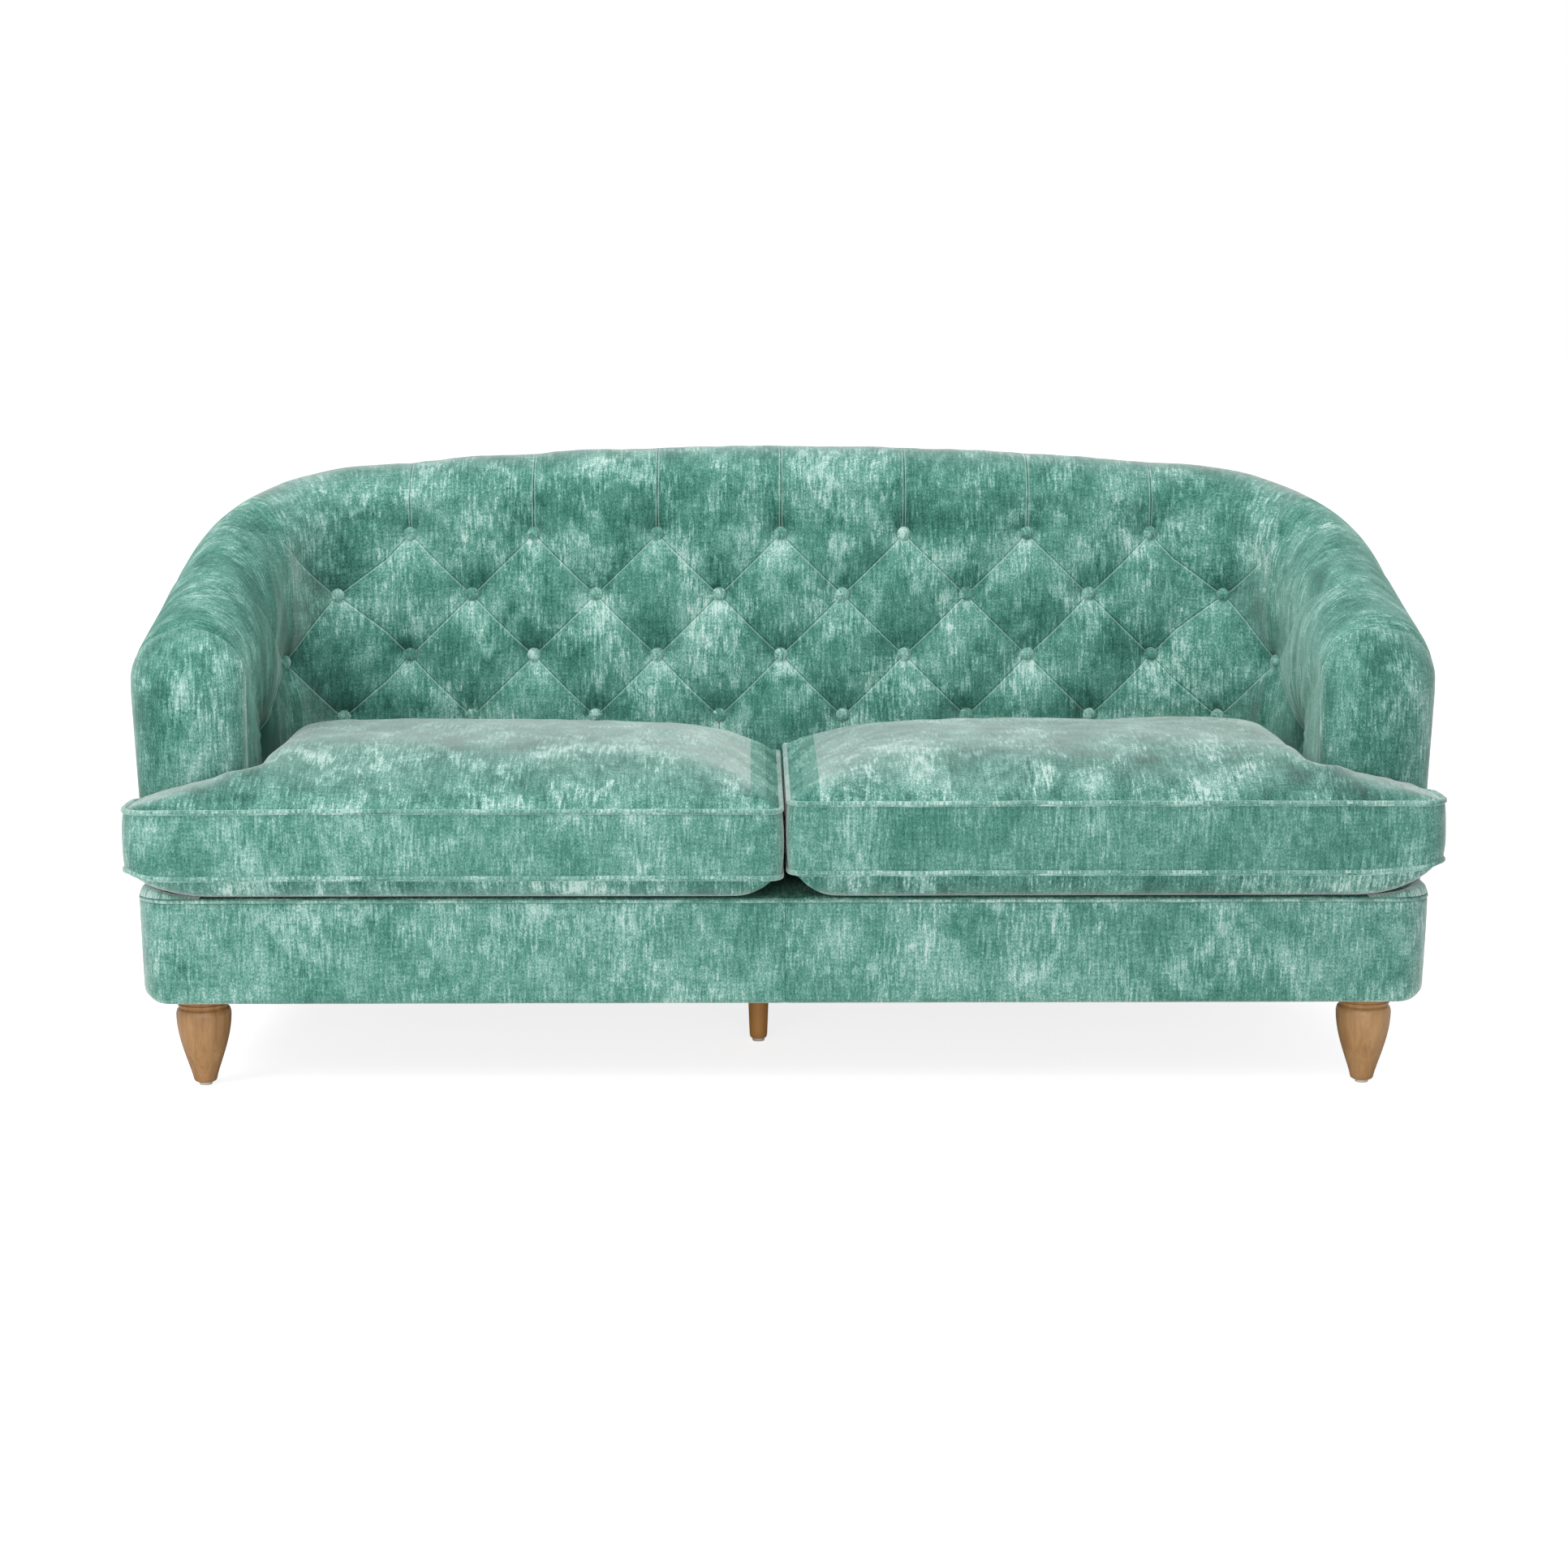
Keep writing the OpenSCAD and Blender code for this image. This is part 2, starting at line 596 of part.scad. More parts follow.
module back_top_rail()
    rail([-s_corner, back_y + hoop_q(0), hoop_z(s_corner) - hoop_t], [2 * s_corner, hoop_w, hoop_t]);

// Arm boards under the top rail: a post behind the arm front and a panel behind the foam
panel_t = 6;
panel_q = wad_t + foam_gap + arm_foam_t + hoop_gap - arm_swell;
post_w = 50;
board_end = 1;
panel_up = 8;
hoop_under = [for (s = hoop_arm_stations) [s_arm + corner_y - s, hoop_z(s) - hoop_t - soft_gap]];
module arm_board(q, t, y0, y1, z0)
    color(frame_colour)
    translate([seat_half + q, 0, 0])
    rotate([90, 0, 90])
    linear_extrude(t)
    polygon(concat([[y0, z0], [y1, z0], [y1, lookup(y1, hoop_under)]],
        [for (p = hoop_under) if (p[0] > y0 && p[0] < y1) p], [[y0, lookup(y0, hoop_under)]]));
module one_arm_post()
    arm_board(panel_q + panel_t, post_w, arm_end_y + board_end, arm_end_y + board_end + rail_t, rail_top);
module one_arm_panel()
    arm_board(panel_q, panel_t, arm_end_y + board_end, corner_y, rail_top + panel_up);

// Ribs of the back and of the corners, from the seat frame to the top rail. The back ribs stand
// between the ends of the seat springs, the outer ones flush with the ends of the back rail, and one
// spring lies past each of these.
spring_bays = spring_count / 2 - 1;
spring_pitch = (straight_half - rib_t / 2) / spring_bays;
mid_bay = round(spring_bays / 2);
rib_places = [-spring_bays, -mid_bay, 0, mid_bay, spring_bays] * spring_pitch;
outside_clear = cover_t + 1;
rib_in = 22;
function rib_back(s, z) =
    let (e = s + rib_t / 2, over = clamp((z - roll_z(e)) / roll_at(e), 0, 1))
    z < roll_z(e) ? q_out(e, z) - outside_clear
    : roll_q(e) + (roll_half(e) - rib_in) * sqrt(1 - over * over);
function rib_front(s, z) = q_in(s, z) + wad_t + foam_gap + foam_t(s) + foam_gap + web_t;
module rib(s, z1) {
    n = normal(s);
    p = path(s);
    translate([p[0], p[1], 0])
    rotate([0, 0, atan2(n[1], n[0])])
    rotate([90, 0, 0])
    translate([0, 0, -rib_t / 2])
    linear_extrude(rib_t)
    polygon([[rib_front(s, rail_top), rail_top], [rib_back(s, rail_top), rail_top],
        [rib_back(s, min(z1, roll_z(s) - rib_in)), min(z1, roll_z(s) - rib_in)],
        [rib_back(s, z1), z1], [rib_front(s, z1), z1]]);
}
module back_ribs()
    color(frame_colour)
    for (s = rib_places) rib(s, hoop_z(s_corner) - hoop_t - soft_gap);
module corner_ribs()
    color(frame_colour)
    both() rib(s_seam, hoop_z(s_seam + rib_t / 2) - hoop_t - soft_gap);

// Webbing straps across the front of the back ribs
web_count = 8;
web_w = 44;
web_low = 70;
web_high = 60;
web_past = 5;
web_half = spring_bays * spring_pitch + web_past;
module back_webbing()
    color(black_colour)
    for (i = [0 : web_count - 1]) {
        z = mix(rail_top + web_low, hoop_z(s_corner) - hoop_t - web_high, i / (web_count - 1));
        translate([-web_half, back_y + rib_front(0, z) - web_t - soft_gap, z])
            rotate([-atan(back_lean), 0, 0])
            cube([2 * web_half, web_t * cos(atan(back_lean)), web_w]);
    }

// Sinuous springs from the front rail to the rear seat rail, with a clip at each end
spring_half = 22;
spring_step = 50;
spring_front = front_rail_y + rail_t / 2;
spring_back = rear_seat_y + rail_t / 2;
spring_turns = 2 * floor((spring_back - spring_front) / spring_step / 2);
function spring_x(i) = (i - (spring_count - 1) / 2) * spring_pitch;
function spring_path(dx) = [for (i = [0 : spring_turns])
    [(i == 0 || i == spring_turns ? 0 : (i % 2 == 0 ? -1 : 1) * spring_half) + dx,
     mix(spring_front, spring_back, i / spring_turns)]];
spring_side = spring_wire / 2 * norm([2 * spring_half, spring_step]) / spring_step;
function reversed(list) = [for (i = [len(list) - 1 : -1 : 0]) list[i]];
module seat_springs()
    color(steel_colour)
    for (i = [0 : spring_count - 1])
        translate([spring_x(i), 0, rail_top + soft_gap])
        linear_extrude(spring_wire)
        polygon(concat(spring_path(-spring_side), reversed(spring_path(spring_side))));
clip_w = 14;
clip_l = 12;
clip_t = 1.2;
clip_h = spring_wire + 2 * soft_gap;
module spring_clip(y, way)
    translate([-clip_w / 2, y - clip_l / 2, rail_top])
    union() {
        translate([0, 0, clip_h]) cube([clip_w, clip_l, clip_t]);
        translate([0, way > 0 ? clip_l - clip_t : 0, 0]) cube([clip_w, clip_t, clip_h]);
    }
module spring_clips()
    color(steel_colour)
    for (i = [0 : spring_count - 1])
        translate([spring_x(i), 0, 0]) {
            spring_clip(spring_front, -1);
            spring_clip(spring_back, 1);
        }

// Plan of the base front, as a flat shape whose sides run back to the arms
module base_outline(inset) {
    r = base_corner_r - inset;
    half = base_half - inset;
    y0 = base_y + inset;
    translate([-half, y0 + r]) square([2 * half, arm_end_y - y0 - r]);
    translate([-half + r, y0]) square([2 * (half - r), r + 1]);
    for (x = [-half + r, half - r]) translate([x, y0 + r]) circle(r, $fn = 48);
}
deck_half = seat_half + panel_q - hoop_gap;
deck_taper = 138;
deck_rear_half = deck_half - deck_taper;
deck_side_past = 50;
deck_side_y = corner_y + deck_side_past;
deck_rear_y = back_y + rib_front(0, rail_top) - soft_gap;
module deck_plan(inset) {
    right = [[deck_half, arm_end_y - 1], [deck_half, deck_side_y], [deck_rear_half, deck_rear_y]];
    base_outline(inset);
    polygon(concat(right, [for (p = reversed(right)) [-p[0], p[1]]]));
}
hessian_t = 1;
hessian_z = rail_top + clip_h + clip_t + soft_gap;
pad_z = hessian_z + hessian_t + soft_gap;
module hessian()
    color("#b39b6b")
    translate([0, 0, hessian_z])
    linear_extrude(hessian_t)
    deck_plan(border_t + soft_gap);
module deck_pad()
    color(foam_colour)
    translate([0, 0, pad_z])
    linear_extrude(deck_z - deck_cover_t - soft_gap - pad_z)
    deck_plan(border_t + soft_gap);
module deck_cover()
    color(fabric_colour)
    translate([0, 0, deck_z - deck_cover_t])
    linear_extrude(deck_cover_t)
    deck_plan(deck_cover_in);

// Base border in two halves with a seam at the middle, and the welt along its top
welt_r = 2.5;
welt_z = deck_z - deck_cover_t - soft_gap - welt_r;
border_h = welt_z - welt_r - soft_gap - leg_h;
module base_border_right()
    color(fabric_colour)
    translate([0, 0, leg_h])
    linear_extrude(border_h)
    intersection() {
        difference() {
            base_outline(0);
            base_outline(border_t);
        }
        translate([soft_gap / 2, base_y - 1]) square([sofa_w, sofa_d]);
    }
module base_welt()
    color(fabric_colour)
    translate([0, 0, welt_z]) {
        r = base_corner_r - welt_r;
        half = base_half - base_corner_r;
        translate([-half, base_y + welt_r, 0])
            rotate([0, 90, 0])
            cylinder(r = welt_r, h = 2 * half, $fn = 6);
        both() {
            translate([half, base_y + base_corner_r, 0])
                rotate([0, 0, -90])
                rotate_extrude(angle = 90, $fn = 48)
                translate([r, 0]) circle(welt_r, $fn = 6);
            translate([half + r, base_y + base_corner_r, 0])
                rotate([-90, 0, 0])
                cylinder(r = welt_r, h = arm_end_y - base_y - base_corner_r - 1, $fn = 6);
        }
    }

// Rolls that fill out the deck's front corners under the cushions' ears: each a half round whose
// height grows from its inner end, round the corner and back to the arm front
roll_w = 34;
roll_edge = 1;
roll_profile = [[0, 0], [0, 0.45], [0.13, 0.85], [0.36, 1], [0.68, 0.72], [1, 0]];
roll_heights = [0.8, 2.6, 6, 9.5, 12.5, 14, 14, 14];
roll_starts = [95, 75, 55];
// Turns of a quarter circle in plan
arc_turns = [22.5, 45, 67.5, 90];
roll_line = concat(
    [for (x = roll_starts) [base_half - x, base_y, 0]],
    [for (a = arc_turns)
        [base_half - base_corner_r * (1 - sin(a)), base_y + base_corner_r * (1 - cos(a)), a]],
    [[base_half, arm_y - roll_edge, 90]]);
module one_deck_roll() {
    n = len(roll_profile);
    last = len(roll_line) - 1;
    points = [for (i = [0 : last], p = roll_profile)
        let (c = roll_line[i], in = roll_edge + p[0] * roll_w)
        [c[0] - in * sin(c[2]), c[1] + in * cos(c[2]), deck_z + soft_gap + p[1] * roll_heights[i]]];
    sides = [for (i = [0 : last - 1], j = [0 : n - 1]) each
        let (a = i * n + j, b = i * n + (j + 1) % n)
        [[a, b, b + n], [a, b + n, a + n]]];
    caps = [for (j = [1 : n - 2]) each [[0, j + 1, j], [last * n, last * n + j, last * n + j + 1]]];
    polyhedron(points, concat(sides, caps));
}
module deck_rolls() color(fabric_colour) both() one_deck_roll();

// Dust cover inside the border and the outside covers
function slice(list, from) = [for (i = [from : len(list) - 1]) list[i]];
module outside_plan(inset) {
    right = concat(
        [for (s = concat(half_back_stations, slice(outside_arm_stations, 1)))
            let (p = place(s, [q_out(s, leg_h) - inset, 0])) [p[0], p[1]]],
        [[base_half - border_t - soft_gap, arm_end_y], [base_half - border_t - soft_gap, arm_end_y - 1]]);
    polygon(concat(right, [for (p = reversed(right)) [-p[0], p[1]]]));
}
leg_clear = 3;
function leg_hole_r(at) = (at[1] == front_leg_y ? leg_dia : plain_leg_dia) / 2 + leg_clear;
module dust_cover()
    color(black_colour)
    translate([0, 0, leg_h])
    linear_extrude(dust_t)
    difference() {
        union() {
            base_outline(border_t + soft_gap);
            outside_plan(cover_t + 2 * soft_gap);
        }
        for (p = leg_places) translate(p) circle(leg_hole_r(p), $fn = 12);
    }

// Tufting buttons and the twine that holds each one back through the foam
tufts = [for (r = [0 : top_row], k = [-last_column : last_column])
    if ((k + r) % 2 != 0 && abs(k) + r <= last_column) [k, r]];
button_lift = 8.7;
module at_tuft(k, r, t) {
    s = column_s(k);
    h = row_h(r);
    n = normal(s);
    translate(place(s, section(s, h, t)))
        rotate([0, 90 - atan(lean(s)), atan2(-n[1], -n[0])])
        children();
}
module tufting_buttons()
    color(fabric_colour)
    for (t = tufts)
        at_tuft(t[0], t[1], tuft_depth - button_lift)
        rotate_extrude($fn = 8)
        polygon([[0, 0], [button_dia / 2, 0], [button_dia * 0.4, button_h * 0.7], [0, button_h]]);
twine_r = 0.8;
module button_twine()
    color("#cfc7ae")
    for (t = tufts) {
        s = column_s(t[0]);
        length = (wad_t + foam_gap + foam_t(s) - tuft_depth + button_lift) * cos(atan(lean(s)));
        at_tuft(t[0], t[1], tuft_depth - button_lift)
            translate([0, 0, -length])
            cylinder(r = twine_r, h = length, $fn = 3);
    }

// Seat cushion on the +X side, as a T whose ear reaches round the arm front. Its grid lines are
// given in an unrounded T, and each corner is then rounded into a quarter circle.
stem_gap = 2;
rear_gap = 12;
ear_gap = 6;
cushion_x0 = cushion_gap / 2;
stem_x = seat_half - arm_swell - stem_gap;
ear_x = sofa_w / 2 - ear_gap;
ear_y = ear_d - 2;
stem_y = back_y - front_y - rear_gap;
stem_r = corner_r - rear_gap;
front_r = 45;
ear_r = 30;
seam_r = 30;
seam_inset = 5;
stem_x1 = stem_x - stem_r;
stem_y1 = stem_y - stem_r;
stem_lines = 8;
grid_x = concat([for (i = [0 : 2]) cushion_x0 + i * seam_r / 2],
    [for (i = [1 : stem_lines]) mix(cushion_x0 + seam_r, stem_x1, i / stem_lines)],
    [for (a = arc_turns) stem_x1 + stem_r * sin(a)],
    [mix(stem_x, ear_x - front_r, 0.5)],
    [for (i = [0 : 3]) ear_x - front_r + i * front_r / 3]);
grid_y = concat([for (i = [0 : 3]) i * front_r / 3],
    [for (i = [0 : 2]) ear_y - ear_r + i * ear_r / 2],
    [for (i = [1 : 5]) mix(ear_y, stem_y1, i / 5)],
    [for (a = arc_turns) stem_y1 + stem_r * sin(a)]);
i_stem = 2 + stem_lines + 4;
i_ear = len(grid_x) - 1;
j_ear = 6;
j_back = len(grid_y) - 1;
boxing_z = deck_z + under_h;
boxing_rows = [[0, seam_inset], [0.18, 1.5], [0.5, 0], [0.82, 1.5], [1, seam_inset]];

function squared(p, c, way, r) =
    let (u = (p[0] - c[0]) * way[0] / r, v = (p[1] - c[1]) * way[1] / r)
    u > 0 && v > 0
    ? [c[0] + way[0] * r * u * sqrt(1 - v * v / 2), c[1] + way[1] * r * v * sqrt(1 - u * u / 2)]
    : p;
function inset_line(lines, i, ends, inset) =
    i == ends[0] ? lines[i] + inset : (i == ends[1] || i == ends[2] ? lines[i] - inset : lines[i]);
function cushion_plan(i, j, inset) =
    let (
        x = i == i_stem && j < j_ear ? grid_x[i] : inset_line(grid_x, i, [0, i_stem, i_ear], inset),
        y = j == j_ear && i < i_stem ? grid_y[j] : inset_line(grid_y, j, [0, j_ear, j_back], inset),
        d = side_draw * sin(180 * (x - cushion_x0) / (ear_x - cushion_x0)) * (1 - min(1, y / ear_y)),
        a = squared([x, y], [cushion_x0 + seam_r, seam_r], [-1, -1], seam_r - inset),
        b = squared(a, [ear_x - front_r, front_r], [1, -1], front_r - inset),
        c = i > i_stem ? squared(b, [ear_x - ear_r, ear_y - ear_r], [1, 1], ear_r - inset) : b,
        e = j > j_ear ? squared(c, [stem_x1, stem_y1], [1, 1], stem_r - inset) : c)
    [e[0], front_y + e[1] + d];
function edge_distance(x, y, fullness) =
    let (
        near = 0.01,
        outer = y > ear_y ? fullness * (stem_x - x)
            : x > stem_x ? min(ear_x - x, fullness * (ear_y - y))
            : min(ear_x - x, fullness * norm([stem_x - x, ear_y - y])),
        sides = [x - cushion_x0, y, stem_y - y, outer])
    pow([for (s = sides) pow(max(s, near), -3)] * [1, 1, 1, 1], -1 / 3);
crown_reach = 260;
crown_power = 2.5;
// The crown rises this many times faster from the edges that press against the arms
crown_side = 2.2;
under_reach = 65;
under_power = 3.2;
// Lengths over which the underside rises to the seam, at the ear's end and at the middle of the sofa
under_ear = 130;
under_mid = 70;
function crown_z(i, j) =
    let (d = edge_distance(grid_x[i], grid_y[j], crown_side))
    boxing_z + boxing_h
    + (seat_h - boxing_z - boxing_h) * (1 - pow(1 - min(d / crown_reach, 1), crown_power));
function under_z(i, j) =
    let (
        x = grid_x[i],
        d = edge_distance(x, grid_y[j], 1),
        ear = 1 - pow(1 - min((ear_x - x) / under_ear, 1), 2),
        mid = 1 - pow(1 - min((x - cushion_x0) / under_mid, 1), 2))
    boxing_z
    - (under_h - soft_gap) * ear * mid * (1 - pow(1 - min(d / under_reach, 1), under_power));
cushion_edge = concat(
    [for (i = [0 : i_ear]) [i, 0]],
    [for (j = [1 : j_ear]) [i_ear, j]],
    [for (i = [i_ear - 1 : -1 : i_stem]) [i, j_ear]],
    [for (j = [j_ear + 1 : j_back]) [i_stem, j]],
    [for (i = [i_stem - 1 : -1 : 0]) [i, j_back]],
    [for (j = [j_back - 1 : -1 : 1]) [0, j]]);
cushion_cells = [for (j = [0 : j_back - 1], i = [0 : i_ear - 1]) if (i < i_stem || j < j_ear) [i, j]];
cushion_nodes = [for (j = [0 : j_back], i = [0 : i_ear]) if (i <= i_stem || j <= j_ear) [i, j]];
function node_index(i, j) =
    j <= j_ear
    ? j * (i_ear + 1) + i
    : (j_ear + 1) * (i_ear + 1) + (j - j_ear - 1) * (i_stem + 1) + i;
function edge_ring(z, inset) =
    [for (e = cushion_edge) let (p = cushion_plan(e[0], e[1], inset)) [p[0], p[1], z]];
function seam_point(c, z) = let (p = cushion_plan(c[0], c[1], seam_inset)) [p[0], p[1], z];

module cushion_form() {
    n = len(cushion_nodes);
    m = len(cushion_edge);
    rings = len(boxing_rows) - 2;
    points = concat(
        [for (c = cushion_nodes) seam_point(c, under_z(c[0], c[1]))],
        [for (c = cushion_nodes) seam_point(c, crown_z(c[0], c[1]))],
        [for (r = [1 : rings]) each edge_ring(boxing_z + boxing_h * boxing_rows[r][0], boxing_rows[r][1])]);
    function edge(r, e) =
        let (c = cushion_edge[e % m])
        r == 0 ? node_index(c[0], c[1])
        : r > rings ? n + node_index(c[0], c[1])
        : 2 * n + (r - 1) * m + e % m;
    under = [for (c = cushion_cells) each
        let (a = node_index(c[0], c[1]), b = node_index(c[0] + 1, c[1]),
             d = node_index(c[0] + 1, c[1] + 1), e = node_index(c[0], c[1] + 1))
        [[a, b, d], [a, d, e]]];
    crown = [for (t = under) [n + t[0], n + t[2], n + t[1]]];
    boxing = [for (r = [0 : rings], e = [0 : m - 1]) each
        [[edge(r, e), edge(r + 1, e), edge(r + 1, e + 1)], [edge(r, e), edge(r + 1, e + 1), edge(r, e + 1)]]];
    polyhedron(points, concat(under, crown, boxing));
}

// The foam core, with flat faces and its corners cut off
core_inset = 18;
core_up = 33;
core_down = 2;
core_cut = 0.62 * stem_r;
core_z = deck_z + core_up;
core_h = boxing_z + boxing_h - core_down - core_z;
module core_plan(grow) {
    x0 = cushion_x0 + core_inset - grow;
    x1 = stem_x - core_inset + grow;
    x2 = ear_x - core_inset + grow;
    y0 = front_y + core_inset + side_draw - grow;
    y1 = front_y + ear_y - core_inset + grow;
    y2 = front_y + stem_y - core_inset + grow;
    polygon([[x0, y0], [x2 - front_r / 2, y0], [x2, y0 + front_r / 2], [x2, y1], [x1, y1],
        [x1, y2 - core_cut], [x1 - core_cut, y2], [x0, y2]]);
}
module seat_cushion_cover_right()
    color(fabric_colour)
    difference() {
        cushion_form();
        translate([0, 0, core_z - soft_gap]) linear_extrude(core_h + 2 * soft_gap) core_plan(soft_gap);
    }
module seat_cushion_core_right()
    color(foam_colour)
    translate([0, 0, core_z])
    linear_extrude(core_h)
    core_plan(0);

// Piping: a tube of pentagons round the cushion's edge, at the two seams of the boxing. It keeps the
// edge's points where the edge turns, and every third one elsewhere.
piping_sides = 5;
straight_turn = 2;
function edge_turn(ring, e) =
    let (
        n = len(ring),
        a = ring[e] - ring[(e + n - 1) % n],
        b = ring[(e + 1) % n] - ring[e])
    acos(min(1, a * b / norm(a) / norm(b)));
module piping(z) {
    r = piping_dia / 2;
    ring = edge_ring(z, r);
    line = [for (e = [0 : len(ring) - 1]) if (e % 3 == 0 || edge_turn(ring, e) > straight_turn) ring[e]];
    m = len(line);
    function out(e) =
        let (a = line[(e + m - 1) % m], b = line[(e + 1) % m], d = b - a)
        [d[1], -d[0], 0] / norm(d);
    points = [for (e = [0 : m - 1], i = [0 : piping_sides - 1])
        let (a = i * 360 / piping_sides) line[e] + r * (cos(a) * out(e) + [0, 0, sin(a)])];
    function at(e, i) = (e % m) * piping_sides + i % piping_sides;
    faces = [for (e = [0 : m - 1], i = [0 : piping_sides - 1]) each
        [[at(e, i), at(e, i + 1), at(e + 1, i + 1)], [at(e, i), at(e + 1, i + 1), at(e + 1, i)]]];
    polyhedron(points, faces);
}
module seat_cushion_piping_right()
    color(fabric_colour) {
        piping(boxing_z);
        piping(boxing_z + boxing_h);
    }

// Zip in the rear boxing: a tape with its chain, and a slider that runs along it
zip_in = 100;
zip_x0 = cushion_x0 + zip_in;
zip_y = front_y + stem_y + soft_gap;
zip_z = boxing_z + boxing_h / 2;
tape_h = 22;
tape_t = 1.2;
chain_h = 5;
chain_t = 1.5;
slider_in = 2;
slider_l = 14;
slider_h = 9;
slider_t = 4;
pull_h = 24;
pull_w = 7;
pull_t = 1.2;
module zip_tape_right()
    color(black_colour)
    union() {
        translate([zip_x0, zip_y, zip_z - tape_h / 2]) cube([zip_len, tape_t, tape_h]);
        translate([zip_x0, zip_y + tape_t, zip_z - chain_h / 2]) cube([zip_len, chain_t, chain_h]);
    }
module zip_slider_right()
    color(steel_colour)
    translate([zip_x0 + zip_len - slider_l - slider_in, zip_y + tape_t + chain_t + soft_gap, zip_z])
    union() {
        translate([0, 0, -slider_h / 2]) cube([slider_l, slider_t, slider_h]);
        translate([(slider_l - pull_w) / 2, slider_t, -pull_h]) cube([pull_w, pull_t, pull_h]);
    }

// Pieces that stand for themselves on one or both sides
module side_rails() both() one_side_rail();
module rear_corner_rails() both() one_rear_corner_rail();
module arm_posts() both() one_arm_post();
module arm_panels() both() one_arm_panel();
module arm_top_rails() both() hoop(hoop_arm_stations);
module corner_hoops() both() hoop(hoop_corner_stations);
module back_foam() foam(back_foam_stations, 1);
module corner_foam_right() foam(corner_stations, 3);
module arm_foam_right() foam(arm_stations, 3);
module inside_back_cover() tufted_cover(back_stations);
module inside_corner_cover_right() tufted_cover(corner_stations);
module inside_arm_cover_right() tufted_cover(arm_stations);
module outside_arm_cover_right() outside_cover(outside_arm_stations);
module outside_back_cover() outside_cover(outside_back_stations);

// The -X side, as the mirror image of the +X side
module other_side() mirror([1, 0, 0]) children();
module corner_foam_left() other_side() corner_foam_right();
module arm_foam_left() other_side() arm_foam_right();
module inside_corner_cover_left() other_side() inside_corner_cover_right();
module inside_arm_cover_left() other_side() inside_arm_cover_right();
module arm_front_left() other_side() arm_front_right();
module outside_arm_cover_left() other_side() outside_arm_cover_right();
module base_border_left() other_side() base_border_right();
module front_leg_left() other_side() front_leg_right();
module rear_leg_left() other_side() rear_leg_right();
module seat_cushion_cover_left() other_side() seat_cushion_cover_right();
module seat_cushion_core_left() other_side() seat_cushion_core_right();
module seat_cushion_piping_left() other_side() seat_cushion_piping_right();
module zip_tape_left() other_side() zip_tape_right();
module zip_slider_left() other_side() zip_slider_right();

front_rail();
rear_seat_rail();
back_rail();
side_rails();
rear_corner_rails();
centre_rail();
leg_blocks();
arm_posts();
arm_top_rails();
arm_panels();
corner_hoops();
back_ribs();
corner_ribs();
back_top_rail();
seat_springs();
spring_clips();
back_webbing();
hessian();
deck_pad();
deck_cover();
deck_rolls();
back_foam();
corner_foam_left();
corner_foam_right();
arm_foam_left();
arm_foam_right();
inside_back_cover();
inside_corner_cover_left();
inside_corner_cover_right();
inside_arm_cover_left();
inside_arm_cover_right();
arm_front_left();
arm_front_right();
outside_arm_cover_left();
outside_arm_cover_right();
outside_back_cover();
tufting_buttons();
button_twine();
base_border_left();
base_border_right();
base_welt();
dust_cover();
front_leg_left();
front_leg_right();
rear_leg_left();
rear_leg_right();
centre_leg();
leg_bolts();
leg_nuts();
leg_glides();
seat_cushion_cover_left();
seat_cushion_cover_right();
seat_cushion_core_left();
seat_cushion_core_right();
seat_cushion_piping_left();
seat_cushion_piping_right();
zip_tape_left();
zip_tape_right();
zip_slider_left();
zip_slider_right();
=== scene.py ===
"""A tufted two-seat sofa in crushed velvet: the looks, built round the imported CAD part.

Lengths are in metres, in the part's own frame: +Z up, +Y to the back, +X to the right as seen from
the front. The wall functions repeat the ones that the CAD part's covers are made with.
"""

import json
import math

import bpy
import numpy as np
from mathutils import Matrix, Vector


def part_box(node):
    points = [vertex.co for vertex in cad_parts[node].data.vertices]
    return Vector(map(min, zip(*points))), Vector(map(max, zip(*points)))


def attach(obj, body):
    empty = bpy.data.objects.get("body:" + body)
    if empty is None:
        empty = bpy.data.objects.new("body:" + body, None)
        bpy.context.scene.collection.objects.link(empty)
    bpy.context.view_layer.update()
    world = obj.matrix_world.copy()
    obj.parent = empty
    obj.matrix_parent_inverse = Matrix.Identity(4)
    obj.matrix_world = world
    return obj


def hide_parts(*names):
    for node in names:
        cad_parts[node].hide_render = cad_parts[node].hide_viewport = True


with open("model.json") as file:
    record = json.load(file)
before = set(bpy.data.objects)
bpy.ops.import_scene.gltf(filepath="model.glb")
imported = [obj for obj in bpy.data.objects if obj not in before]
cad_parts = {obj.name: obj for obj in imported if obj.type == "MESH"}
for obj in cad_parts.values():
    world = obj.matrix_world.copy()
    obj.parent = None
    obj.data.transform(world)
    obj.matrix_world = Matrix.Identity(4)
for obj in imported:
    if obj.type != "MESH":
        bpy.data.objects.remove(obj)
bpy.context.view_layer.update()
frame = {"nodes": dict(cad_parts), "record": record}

# ---- Driving sizes, as in the CAD part ----
SOFA_W = 1.912
SOFA_D = 0.915
CREST_H = 0.902
ARM_H = 0.632
SEAT_H = 0.500
ARM_T = 0.156
BACK_T = 0.275
CORNER_R = 0.160
BACK_LEAN = 0.170
ROLL_H = 0.076
CORNER_ROLL_H = 0.138
ARM_ROLL_H = 0.064
ARM_FRONT_R = 0.046
ARM_DRAW = 0.021
ARM_SWELL = 0.012
ARM_DROOP = 0.010
CREST_CROWN = 0.029
LOW_ROW_Z = 0.470
ROW_PITCH = 0.0975
BUTTON_R = 0.011
BUTTON_H = 0.006
LEG_H = 0.133
BASE_IN = 0.021
CUSHION_LIP = 0.030
BASE_CORNER_R = 0.055
LEG_R = 0.0395
PLAIN_LEG_R = 0.018
GLIDE_H = 0.005
GLIDE_R = 0.0095
EAR_D = 0.130
